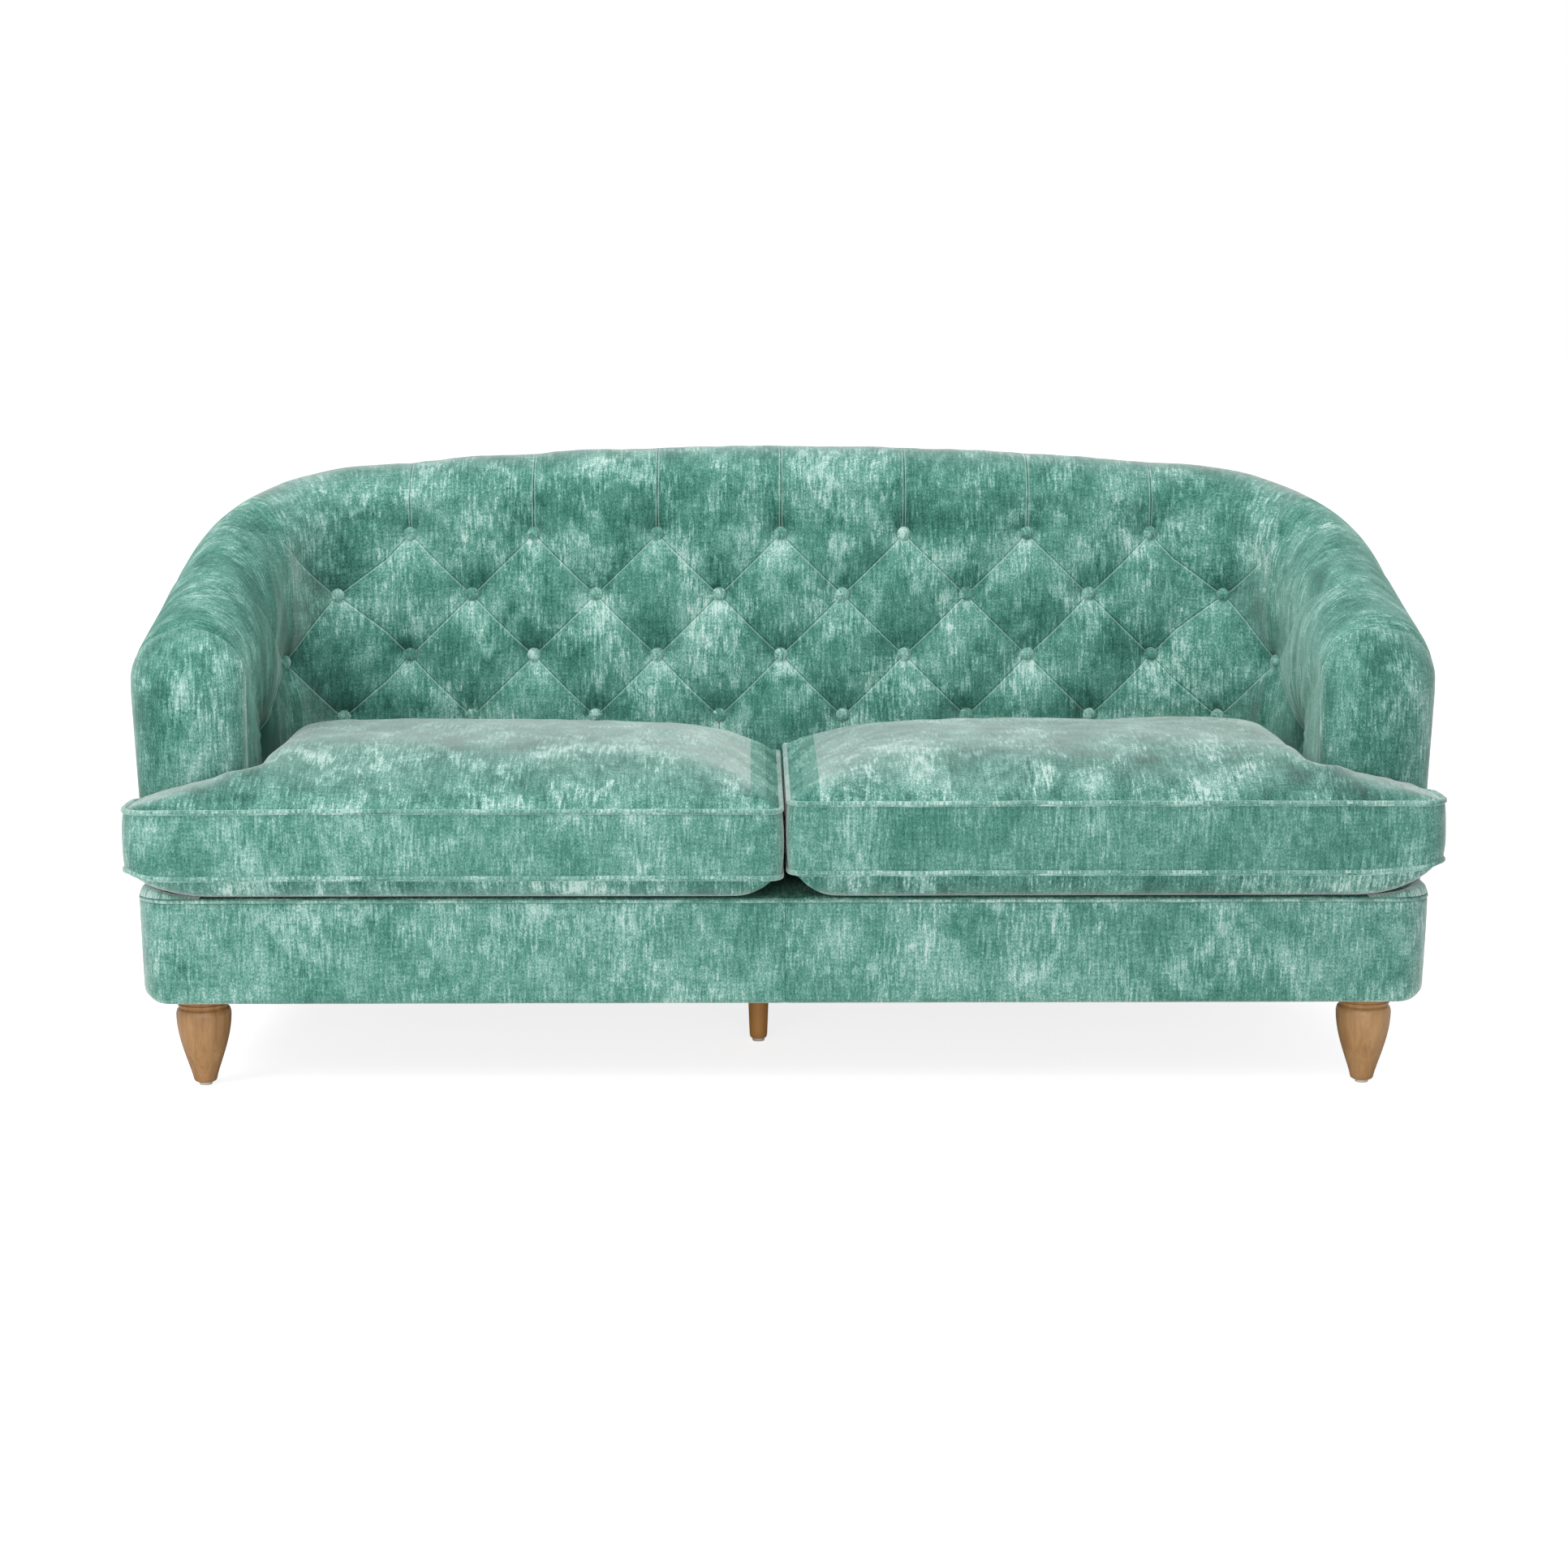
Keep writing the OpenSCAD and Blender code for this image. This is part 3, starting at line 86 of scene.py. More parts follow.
BOXING_H = 0.098
UNDER_H = 0.037
PIPING_R = 0.004
SIDE_DRAW = 0.005

GAP = 0.0003
DECK_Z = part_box("deck_cover")[1].z
FRAME_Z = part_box("front_rail")[0].z
FRONT_Y = -SOFA_D / 2
REAR_Y = SOFA_D / 2
SEAT_HALF = SOFA_W / 2 - ARM_T
S_CORNER = SEAT_HALF - CORNER_R
BACK_Y = REAR_Y - BACK_T
CORNER_Y = BACK_Y - CORNER_R
S_ARM = S_CORNER + CORNER_R * math.pi / 2
S_FRONT = S_ARM + CORNER_Y - (FRONT_Y + EAR_D)
ARM_END = S_FRONT - ARM_FRONT_R - GAP
ARM_END_Y = CORNER_Y - (ARM_END - S_ARM)
BASE_HALF = SOFA_W / 2 - BASE_IN
BASE_Y = FRONT_Y + CUSHION_LIP


# ---- Small helpers ----
def smooth(t):
    u = np.clip(t, 0, 1)
    return u * u * (3 - 2 * u)


def mix(a, b, t):
    return a + (b - a) * t


def bell(x):
    return np.exp(-x ** 2)


def filled(d, reach, power):
    """Rises from 0 to 1 over a reach, steeply at first."""
    return 1 - (1 - np.minimum(d / reach, 1)) ** power


def quarter(count):
    """Angles of a quarter turn."""
    return np.linspace(0, math.pi / 2, count)


def ripple(u, v, size, seed, waves=7):
    """A smooth uneven field between about -1 and 1, with swells of about the given size."""
    rng = np.random.RandomState(seed)
    total = np.zeros(np.broadcast(u, v).shape)
    for _ in range(waves):
        angle, phase = rng.uniform(0, 2 * math.pi, 2)
        pitch = size * rng.uniform(0.7, 1.6)
        total += np.sin(2 * math.pi * (u * math.cos(angle) + v * math.sin(angle)) / pitch + phase)
    return total / math.sqrt(waves) / 1.4


# ---- The wall of the back, corners and arms ----
def turn(s):
    return np.clip((np.abs(s) - S_CORNER) / CORNER_R, 0, math.pi / 2)


def path(s):
    d, a = np.abs(s), turn(s)
    x = np.sign(s) * (np.minimum(d, S_CORNER) + CORNER_R * np.sin(a))
    return x, CORNER_Y + CORNER_R * np.cos(a) - np.maximum(0, d - S_ARM)


def backness(s):
    return 1 - smooth(turn(s) / (math.pi / 2))


def lean(s):
    return BACK_LEAN * backness(s)


CREST_FALL = CREST_H - ARM_H - ARM_DROOP - CREST_CROWN * (S_FRONT / S_CORNER) ** 2
CORNER_SHARE = 0.69
S_FALL = S_CORNER + 0.008
FALL_LEN = 0.313
DROOP_LEN = 0.090
PROUD_LEFT, PROUD_RIGHT = 0.009, 0.015
PROUD_FROM, PROUD_RISE, PROUD_END, PROUD_FADE = 0.10, 0.16, 0.075, 0.065


def proud(s):
    """How far the padded roll stands up past the CAD part's on the shoulders, more on the right."""
    d = np.abs(s)
    rise = smooth((d - S_CORNER - PROUD_FROM) / PROUD_RISE)
    fall = smooth((d - S_FRONT + PROUD_END) / PROUD_FADE)
    return rise * (1 - fall) * np.where(np.asarray(s) > 0, PROUD_RIGHT, PROUD_LEFT)


def crest(s):
    d = np.abs(s)
    straight = np.maximum(0, d - S_FALL - FALL_LEN) / (S_FRONT - S_FALL - FALL_LEN)
    return (CREST_H - CREST_CROWN * (d / S_CORNER) ** 2
            - CREST_FALL * CORNER_SHARE * smooth((d - S_FALL) / FALL_LEN)
            - CREST_FALL * (1 - CORNER_SHARE) * straight
            - ARM_DROOP * (np.maximum(0, d - S_FRONT + DROOP_LEN) / DROOP_LEN) ** 2 + proud(s))


def roll(s):
    d = np.abs(s)
    arm = mix(CORNER_ROLL_H, ARM_ROLL_H, (d - S_ARM) / (S_FRONT - S_ARM))
    return np.where(d < S_ARM, mix(CORNER_ROLL_H, ROLL_H, backness(s)), arm)


def roll_z(s):
    return crest(s) - roll(s)


def q_in(s, z):
    return lean(s) * (z - DECK_Z) - ARM_SWELL * (1 - backness(s))


BACK_TAPER = 0.025


def q_out(s, z):
    up = np.clip((z - LEG_H) / (ARM_H - ARM_ROLL_H - LEG_H), 0, 1)
    arm = ARM_T - ARM_DRAW * (1 - up)
    back = BACK_T - BACK_TAPER * (z - LEG_H) / (CREST_H - ROLL_H - LEG_H)
    return mix(arm, back, backness(s))


def roll_half(s):
    return (q_out(s, roll_z(s)) - q_in(s, roll_z(s))) / 2


def roll_len(s):
    return math.pi * np.sqrt((roll_half(s) ** 2 + roll(s) ** 2) / 2)


def girth(s, angle):
    return roll_z(s) + roll_len(s) * angle / 180


def section(s, h, t):
    """Distance outward and height of a skin point, h up the wall and on over the roll, t deep."""
    zr = roll_z(s)
    a = math.pi * (h - zr) / roll_len(s)
    half = roll_half(s)
    over = h > zr
    q = np.where(over, q_in(s, zr) + half - (half - t) * np.cos(a), q_in(s, h) + t)
    z = np.where(over, zr + (roll(s) - t) * np.sin(a), h)
    return q, z


def place(s, q, z):
    """A point of the wall: s along its path, q outward from it, z up."""
    x, y = path(s)
    a = turn(s)
    return np.stack(np.broadcast_arrays(x + np.sign(s) * np.sin(a) * q, y + np.cos(a) * q, z), -1)


# ---- The tuft lattice ----
BACK_CELLS = 6
SPLIT = 8
LAST = 9
TOP_ROW = 3
BUTTONS = [(k, r) for r in range(TOP_ROW + 1) for k in range(-LAST, LAST + 1)
           if (k + r) % 2 and abs(k) + r <= LAST]
S_FAN = S_CORNER - 0.036
COLUMN = S_FAN / BACK_CELLS
S_SPLIT = S_FAN + 2 * 0.909 * COLUMN
S_LAST = S_ARM + 0.062
COLUMN_STOPS = [0, BACK_CELLS, SPLIT, LAST, LAST + 2]
S_STOPS = [0, S_FAN, S_SPLIT, S_LAST, S_LAST + 2 * (S_LAST - S_SPLIT)]
SEAM_ANGLE = 160


def column(s):
    return np.interp(np.abs(s), S_STOPS, COLUMN_STOPS)


def column_s(k):
    return np.sign(k) * np.interp(np.abs(k), COLUMN_STOPS, S_STOPS)


def row(h):
    return (h - LOW_ROW_Z) / ROW_PITCH


def row_h(r):
    return LOW_ROW_Z + r * ROW_PITCH


def over_roll(s, h):
    """Degrees that a place has turned over the roll, from 0 inside to 180 outside."""
    return 180 * (h - roll_z(s)) / roll_len(s)


def fold_lines(k, r):
    """Two coordinates whose whole numbers are the pleats, and the metres that one of each spans."""
    low = np.clip(r, 0, TOP_ROW)
    a = (k + low + 1) / 2
    b = (k - low + 1) / 2
    fan = k + low > LAST
    a = np.where(fan, LAST / 2 + 0.5 + np.minimum(0.5, (k + low - LAST) / 2), a)
    high_fan = (r > TOP_ROW) & (k > BACK_CELLS)
    b = np.where(high_fan, 2 + (k - BACK_CELLS) / np.maximum(r - 1, 1), b)
    cell = 2 * COLUMN * ROW_PITCH / math.hypot(COLUMN, ROW_PITCH)
    upright = (r < 0) | ((r > TOP_ROW) & (k <= BACK_CELLS))
    size_a = np.where(upright, 2 * COLUMN, cell)
    size_b = np.where(upright, 2 * COLUMN, np.where(high_fan, np.maximum(r - 1, 1) * COLUMN, cell))
    # Past the arm button's own pleat, and past the last one below it, the cover runs smooth
    smooth_arm = np.where(r < 0, k > LAST + 1, fan & (b > 2 + TOP_ROW + 0.5))
    return a, b, size_a, size_b, smooth_arm


# Painted light and shade in the tone: its shift round a button, in the arm's shade (left, right) and in the
# end hollow
BUTTON_SHADING_R, BUTTON_SHADING = 0.042, 0.27
SHADE_AT, SHADE_R, SHADE = S_ARM + 0.02, 0.20, (0.42, 0.10)
SHADE_TOP, SHADE_H = 0.76, 0.22
HOLLOW_SHADE_R, HOLLOW_SHADE = 0.05, 0.45


def painted_shading(s, h):
    """Painted light and shade as a shift of the tone: painted shade over each button, in the arm's shade
    and in the end hollows, painted light under each button.
    """
    tone = 0.0 * s * h
    for bk, br in BUTTONS:
        dh = h - row_h(br)
        far = np.hypot(s - float(column_s(bk)), dh)
        tone = tone - BUTTON_SHADING * dh / np.maximum(far, 0.008) * bell(far / BUTTON_SHADING_R)
    shade = bell((np.abs(s) - SHADE_AT) / SHADE_R) * np.clip((SHADE_TOP - h) / SHADE_H, 0, 1)
    hollow = bell(np.hypot(np.abs(s) - S_LAST, h - LOW_ROW_Z) / HOLLOW_SHADE_R)
    return tone - np.where(s < 0, *SHADE) * shade - HOLLOW_SHADE * hollow


def to_line(x):
    return np.abs(x - np.round(x))


PLEAT = 0.0085
HIGH_PLEAT = 0.0035
PLEAT_FADE = 1.5
DIMPLE = 0.0165
DIMPLE_R = 0.027
DIMPLE_POWER = 1.25
END_DIMPLE = 1.5
GATHER, GATHER_R, GATHER_FOLDS = 0.0013, 0.09, 19
PILLOW = 2.3
# Degrees over the roll where the tufting starts to fade and over which it does, and its fade at the front
FADE_AT, FADE_OVER, FRONT_FADE = 30, 95, 0.060


def sink(s, h):
    """Depth of the cover's skin under its fullest, at a place along the path and up the wall."""
    s, h = np.broadcast_arrays(s, h)
    k, r = column(s), row(h)
    a, b, _, _, smooth_arm = fold_lines(k, r)
    full = (1 - (1 - 2 * to_line(a)) ** PILLOW) * (1 - (1 - 2 * to_line(b)) ** PILLOW)
    past_last = np.maximum(k + np.clip(r, 0, TOP_ROW) - LAST, 0) / 2
    away = np.maximum(np.maximum(r - TOP_ROW, 0), past_last)
    pleat = mix(HIGH_PLEAT, PLEAT, np.exp(-PLEAT_FADE * away))
    depth = pleat * (1 - full) * np.where(smooth_arm, 0, 1)
    for bk, br in BUTTONS:
        bs, bh = float(column_s(bk)), row_h(br)
        near = np.hypot(s - bs, h - bh)
        deep = END_DIMPLE if abs(bk) == LAST else 1.0
        depth = depth + DIMPLE * deep * np.exp(-(near / DIMPLE_R / deep) ** DIMPLE_POWER)
        if abs(bk) == LAST:
            # Small folds that fan out of the arm's button, up towards the roll
            around = np.arctan2(h - bh, np.abs(s) - abs(bs))
            gather = np.sin(GATHER_FOLDS * around + 3 * np.sin(2.3 * around))
            gather = gather * np.clip(np.cos(around - 1.0), 0, 1) * smooth(near / 0.05)
            depth = depth + GATHER * gather * bell((near - GATHER_R) / GATHER_R)
    turned = over_roll(s, h)
    depth = depth * (1 - smooth((turned - FADE_AT) / FADE_OVER))
    front = smooth((S_FRONT - ARM_FRONT_R - np.abs(s)) / FRONT_FADE)
    depth = depth * np.where(k > LAST, front, 1)
    uneven = 0.0011 * ripple(s, h, 0.16, 3) + 0.0005 * ripple(s, h, 0.045, 4)
    return depth + uneven * (1 - smooth((turned - 120) / 40)) * smooth((ARM_END - np.abs(s)) / 0.03)


# ---- Mesh helpers ----
def spaced(stops, step):
    """Grid lines that keep every stop, about a step apart."""
    lines = [stops[0]]
    for a, b in zip(stops[:-1], stops[1:]):
        count = max(1, round((b - a) / step))
        lines += list(a + (b - a) * np.arange(1, count + 1) / count)
    return np.array(lines)


def lengths(line):
    """Distance along a line of points from its first one."""
    return np.concatenate([[0], np.cumsum(np.linalg.norm(np.diff(line, axis=0), axis=1))])


def mirrored(points):
    return points * np.array([-1, 1, 1])


def on_side(side, points, faces):
    """The right side's mesh as it is, or mirrored for the left."""
    return (points, faces) if side == "right" else (mirrored(points), faces[:, ::-1])


def hemmed(s, along, depth, hem):
    """A turned hem all round a grid: its border again, a little deeper."""
    rim = np.pad(np.zeros(depth.shape), 1, constant_values=hem)
    return (np.concatenate([s[:1], s, s[-1:]]), np.pad(along, 1, mode="edge"),
            np.pad(depth, 1, mode="edge") + rim)


def grid_faces(n, m, closed=False, ring=False, flip=False, rising=None):
    """Triangles of an n by m grid; closed joins its last row to its first, ring its last column."""
    i, j = np.meshgrid(np.arange(n if closed else n - 1), np.arange(m if ring else m - 1), indexing="ij")
    i, j = i.ravel(), j.ravel()
    ahead, beside = (i + 1) % n * m, (j + 1) % m
    p00, p10, p01, p11 = i * m + j, ahead + j, i * m + beside, ahead + beside
    up = np.full((i.size, 1), True) if rising is None else rising.reshape(-1, 1)
    one = np.where(up, np.stack([p00, p10, p11], 1), np.stack([p00, p10, p01], 1))
    two = np.where(up, np.stack([p00, p11, p01], 1), np.stack([p10, p11, p01], 1))
    faces = np.concatenate([one, two])
    return faces[:, ::-1] if flip else faces


def cloth_at(u, v):
    """Points of the cloth, from two directions in it."""
    return np.stack(np.broadcast_arrays(u, v, 0.0), -1).reshape(-1, 3)


def joined(parts):
    """Several (points, faces, cloth) as one."""
    starts = np.cumsum([0] + [len(points) for points, _, _ in parts])
    points, faces, cloth = zip(*parts)
    return (np.concatenate(points), np.concatenate([f + start for f, start in zip(faces, starts)]),
            np.concatenate(cloth))


def make_piece(name, material, points, faces, cloth=None, fold_and_shade=None, fold_size=None):
    """A smooth mesh of triangles. cloth holds the cloth's own coordinates, per point or per face corner."""
    points = np.asarray(points, np.float32).reshape(-1, 3)
    mesh = bpy.data.meshes.new(name)
    mesh.vertices.add(len(points))
    mesh.vertices.foreach_set("co", points.ravel())
    mesh.loops.add(faces.size)
    mesh.loops.foreach_set("vertex_index", faces.astype(np.int32).ravel())
    mesh.polygons.add(len(faces))
    mesh.polygons.foreach_set("loop_start", np.arange(0, faces.size, 3, dtype=np.int32))
    mesh.polygons.foreach_set("use_smooth", np.ones(len(faces), bool))
    mesh.update(calc_edges=True)
    if cloth is not None and len(cloth) == len(points):
        cloth = cloth[faces.ravel()]
    for label, domain, values in (("cloth", "CORNER", cloth), ("fold_and_shade", "POINT", fold_and_shade),
                                  ("fold_size", "POINT", fold_size)):
        if values is not None:
            layer = mesh.attributes.new(label, "FLOAT_VECTOR", domain)
            layer.data.foreach_set("vector", np.asarray(values, np.float32).ravel())
    mesh.materials.append(material)
    piece = bpy.data.objects.new(name, mesh)
    bpy.context.scene.collection.objects.link(piece)
    return piece


def dress(piece, materials, index):
    """More materials on a piece, and which of them each face wears."""
    for material in materials:
        piece.data.materials.append(material)
    piece.data.polygons.foreach_set("material_index", index.astype(np.int32))


def wear(piece, body, slot, *nodes):
    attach(piece, body)
    if nodes:
        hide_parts(*nodes)
    return piece


# ---- Materials ----
class Graph:
    """Short calls for building the nodes of a material or a world."""

    def __init__(self, owner):
        owner.use_nodes = True
        self.owner = owner
        self.tree = owner.node_tree
        self.shader = self.tree.nodes.get("Principled BSDF")

    def add(self, kind, settings=None, **inputs):
        node = self.tree.nodes.new(kind)
        for key, value in (settings or {}).items():
            setattr(node, key, value)
        for key, value in inputs.items():
            self.join(value, node.inputs[int(key[1:]) if key[1:].isdigit() else key.replace("_", " ")])
        return node

    def join(self, value, socket):
        if isinstance(value, bpy.types.NodeSocket):
            self.tree.links.new(value, socket)
        else:
            socket.default_value = value

    def math(self, operation, a, b=0.0, c=0.0, clamp=False):
        node = self.add("ShaderNodeMath", {"operation": operation, "use_clamp": clamp})
        for socket, value in zip(node.inputs, (a, b, c)):
            self.join(value, socket)
        return node.outputs[0]

    def plus(self, a, b):
        return self.math("ADD", a, b)

    def times(self, a, b):
        return self.math("MULTIPLY", a, b)

    def centred(self, noise, weight):
        """A noise of a weight, moved to lie about zero."""
        return self.math("MULTIPLY_ADD", noise, weight, -weight / 2)

    def attribute(self, name):
        return self.add("ShaderNodeAttribute", {"attribute_name": name}).outputs["Vector"]

    def parts(self, vector):
        return self.add("ShaderNodeSeparateXYZ", i0=vector).outputs

    def moved(self, vector, by):
        return self.add("ShaderNodeVectorMath", {"operation": "ADD"}, i0=vector, i1=by).outputs[0]

    def in_object(self):
        return self.add("ShaderNodeTexCoord").outputs["Object"]

    def noise(self, vector, detail, roughness, stretch=(1, 1, 1), distortion=0.0, scale=1.0):
        mapping = self.add("ShaderNodeMapping", Vector=vector, Scale=stretch)
        return self.add("ShaderNodeTexNoise", Vector=mapping.outputs[0], Scale=scale, Detail=detail,
                        Roughness=roughness, Distortion=distortion).outputs[0]

    def ramp(self, factor, stops):
        node = self.add("ShaderNodeValToRGB", i0=factor)
        while len(node.color_ramp.elements) < len(stops):
            node.color_ramp.elements.new(0.5)
        for element, (position, colour) in zip(node.color_ramp.elements, stops):
            element.position = position
            element.color = (*colour, 1)
        return node.outputs[0]

    def blend(self, colour, how, factor, other):
        node = self.add("ShaderNodeMix", {"data_type": "RGBA", "blend_type": how}, i0=factor)
        self.join(colour, node.inputs[6])
        self.join((*other, 1), node.inputs[7])
        return node.outputs[2]

    def bump(self, height, strength, distance):
        return self.add("ShaderNodeBump", Strength=strength, Distance=distance, Height=height).outputs[0]

    def finish(self, **sockets):
        for key, value in sockets.items():
            self.join(value, self.shader.inputs[key.replace("_", " ")])
        return self.owner


def graph(name):
    return Graph(bpy.data.materials.new(name))


def linear(r, g, b):
    """A display colour, 0 to 255, as scene-linear."""
    return tuple(((c / 255 + 0.055) / 1.055) ** 2.4 if c > 10 else c / 255 / 12.92 for c in (r, g, b))


VELVET_TONES = [(0.06, linear(28, 82, 70)), (0.32, linear(62, 124, 109)), (0.51, linear(95, 152, 137)),
                (0.68, linear(136, 184, 171)), (0.90, linear(198, 223, 215))]
CREASE_SHADE_TONE = linear(128, 156, 146)
# Half widths of a pleat's line of painted crease shade and of the painted highlights on the rims beside it,
# and how far out the rims lie
HAIR_W, RIM_W, RIM_AT = 0.0011, 0.0013, 0.0021


def velvet(name, seed, folds=False, paler=0.0, crush=1.0, sheen=1.0, tint=(242, 246, 244)):
    """Crushed chenille velvet: ragged pale and dark patches, upright streaks and a fine grain."""
    g = graph(name)
    uv = g.moved(g.attribute("cloth"), (seed * 3.7, seed * 1.3, seed))
    clouds = g.noise(uv, 2.0, 0.5, (5, 4, 1))
    patches = g.noise(uv, 9.0, 0.72, (14, 10, 1), 0.3)
    slubs = g.noise(uv, 3.0, 0.65, (240, 30, 1))
    threads = g.noise(uv, 2.0, 0.6, (30, 170, 1))
    grain = g.noise(uv, 2.0, 0.6, (430, 300, 1))
    lines = g.parts(g.attribute("fold_and_shade"))
    # For the tufted cover the tone starts from the third part of the pleat attribute: the painted light and
    # shade round the buttons, in the arm's shade and in the end hollows
    tone = g.plus(0.5, lines[2]) if folds else 0.5 + paler
    for layer, weight in ((clouds, 0.55 * crush), (patches, 1.35 * crush), (slubs, 0.58 + 0.20 * crush),
                          (threads, 0.25), (grain, 0.62 + 0.28 * crush)):
        tone = g.plus(tone, g.centred(layer, weight))
    # Crushed patches with ragged borders, where the pile lies the other way
    ragged = g.plus(g.noise(uv, 12.0, 0.78, (11, 8, 1), 0.4), g.centred(slubs, 0.30))
    crushed = g.add("ShaderNodeMapRange", {"interpolation_type": "SMOOTHSTEP"}, i0=ragged, i1=0.52, i2=0.58,
                    i3=-0.05 * crush, i4=0.115 * crush).outputs[0]
    colour = g.ramp(g.plus(tone, crushed), VELVET_TONES)
    height = g.plus(slubs, grain)
    if folds:
        sizes = g.parts(g.attribute("fold_size"))

        def line(distances, half_width):
            near = g.math("MINIMUM", *[g.math("ABSOLUTE", d) for d in distances])
            near = g.math("DIVIDE", near, half_width)
            return g.times(g.math("SUBTRACT", 1.0, near, clamp=True), sizes[2])

        # Metres from each pleat, above it or below it
        across = [g.times(g.math("WRAP", lines[i], 0.5, -0.5), sizes[i]) for i in (0, 1)]
        crease_shade = line(across, HAIR_W)
        rim = line([g.plus(across[0], RIM_AT), g.plus(across[1], -RIM_AT)], RIM_W)
        # Painted shade darkens each pleat's crease, and a painted highlight lightens the rim on the side
        # below it
        colour = g.blend(colour, "MULTIPLY", crease_shade, CREASE_SHADE_TONE)
        colour = g.blend(colour, "MIX", g.times(rim, 0.45), VELVET_TONES[-1][1])
        height = g.math("SUBTRACT", height, g.times(crease_shade, 1.2))
    return g.finish(Base_Color=colour, Roughness=0.85, Specular_IOR_Level=0.15,
                    Sheen_Weight=sheen, Sheen_Roughness=0.46, Sheen_Tint=(*linear(*tint), 1),
                    Normal=g.bump(height, 0.5, 0.0007))


def wood(name, dark, light, seed, roughness=0.42, coat=0.25, stretch=(60, 60, 5)):
    g = graph(name)
    moved = g.moved(g.in_object(), (seed, seed * 2, 0))
    grain = g.noise(moved, 5.0, 0.65, stretch, 1.2)
    pores = g.noise(moved, 2.0, 0.6, tuple(12 * c for c in stretch))
    cloud = g.noise(moved, 2.0, 0.5, (9, 9, 4))
    tone = g.plus(g.plus(g.times(grain, 0.75), g.times(pores, 0.18)), g.centred(cloud, 0.5))
    middle = tuple((a + b) / 2 for a, b in zip(dark, light))
    colour = g.ramp(tone, [(0.25, dark), (0.48, middle), (0.72, light)])
    sockets = dict(Base_Color=colour, Roughness=roughness, Normal=g.bump(tone, 0.12, 0.0006))
    if coat:
        sockets.update(Coat_Weight=coat, Coat_Roughness=0.28)
    return g.finish(**sockets)


def plain(name, colour, roughness, metallic=0.0, scale=400, contrast=0.12, bump=0.15):
    """A plain finish with a fine grain."""
    g = graph(name)
    coords = g.in_object()
    grain = g.noise(coords, 3.0, 0.6, scale=scale)
    wide = g.noise(coords, 2.0, 0.5, scale=scale / 25)
    tone = g.plus(g.times(grain, 0.6), g.times(wide, 0.4))
    low = tuple(c * (1 - contrast) for c in colour)
    high = tuple(min(1, c * (1 + contrast)) for c in colour)
    return g.finish(Base_Color=g.ramp(tone, [(0.3, low), (0.7, high)]), Roughness=roughness,
                    Metallic=metallic, Normal=g.bump(grain, bump, 0.0004))


def woven(name, colour, pitch, contrast=0.25):
    """A coarse plain weave, made of two crossed waves."""
    g = graph(name)
    coords = g.in_object()
    waves = [g.add("ShaderNodeTexWave", {"bands_direction": way, "wave_profile": "SIN"}, Vector=coords,
                   Scale=1 / pitch / 3.14, Distortion=0.6, Detail=1.0).outputs[1] for way in ("X", "Y")]
    threads = g.times(g.plus(*waves), 0.5)
    fuzz = g.noise(coords, 2.0, 0.6, scale=1200)
    tone = g.plus(g.times(threads, 0.7), g.times(fuzz, 0.3))
    low = tuple(c * (1 - contrast) for c in colour)
    return g.finish(Base_Color=g.ramp(tone, [(0.25, low), (0.75, colour)]), Roughness=0.9,
                    Normal=g.bump(tone, 0.4, 0.0006))


velvet_back = velvet("velvet_tufted", 1, folds=True)
velvet_turn = velvet("velvet_tufted_turn", 1, folds=True, sheen=0.62, tint=(200, 230, 219))
# Copies of the tufted velvet with less sheen: one round both turns and along the right arm, and a duller
# one for the left arm as painted shade
velvet_arm_shaded = velvet("velvet_tufted_arm", 1, folds=True, sheen=0.34, tint=(190, 226, 213))
velvet_plain = velvet("velvet_plain", 2)
velvet_deck = velvet("velvet_deck", 2, sheen=0.12, tint=(150, 205, 187))
velvet_seat_left = velvet("velvet_seat_left", 3, crush=1.2)
velvet_seat_right = velvet("velvet_seat_right", 5, crush=1.35)
# Two copies with less sheen, as painted shade on the sides at the gap between the cushions
velvet_gap_shaded = [velvet("velvet_gap_side_%d" % i, 3, sheen=sheen, tint=(200, 230, 219))
                   for i, sheen in enumerate((0.55, 0.22))]
velvet_box_left = velvet("velvet_box_left", 3, paler=0.05, crush=0.62)
velvet_box_right = velvet("velvet_box_right", 5, crush=0.62)
velvet_base = velvet("velvet_base", 7, paler=0.06, crush=0.75)
# The buttons' velvet is painted paler, a painted highlight on buttons that sit in the shade of their
# dimples
velvet_button = velvet("velvet_button", 11, paler=0.10)
# The piping's velvet is paler, partly for its stretched pile and partly as a painted highlight along its
# top edge
velvet_piping = velvet("velvet_piping", 9, paler=0.14)
leg_wood = wood("turned_leg_wood", linear(152, 106, 60), linear(206, 160, 106), 0.3)
# The plain legs' wood is more orange and is painted paler than the turned legs', as painted light on legs
# that stand in the shade under the base
plain_leg_wood = wood("plain_leg_wood", linear(196, 128, 60), linear(238, 176, 102), 1.7)
frame_wood = wood("frame_wood", linear(168, 132, 86), linear(220, 192, 146), 0.9, 0.7, 0, (40, 8, 8))
foam_look = plain("foam_look", linear(238, 226, 186), 0.95, scale=900, contrast=0.10, bump=0.5)
steel_look = plain("steel_look", linear(150, 152, 155), 0.38, metallic=0.9, scale=300, bump=0.08)
zip_look = plain("zip_look", linear(175, 175, 172), 0.3, metallic=0.9, scale=500, bump=0.08)
tape_look = woven("tape_look", linear(62, 112, 104), 0.0009)
nylon_look = plain("nylon_look", linear(226, 222, 212), 0.5, scale=250, contrast=0.05)
web_look = woven("web_look", linear(52, 52, 54), 0.002)
dust_look = plain("dust_look", linear(38, 38, 40), 0.95, scale=700, contrast=0.35, bump=0.5)
hessian_look = woven("hessian_look", linear(178, 150, 104), 0.0022, 0.4)
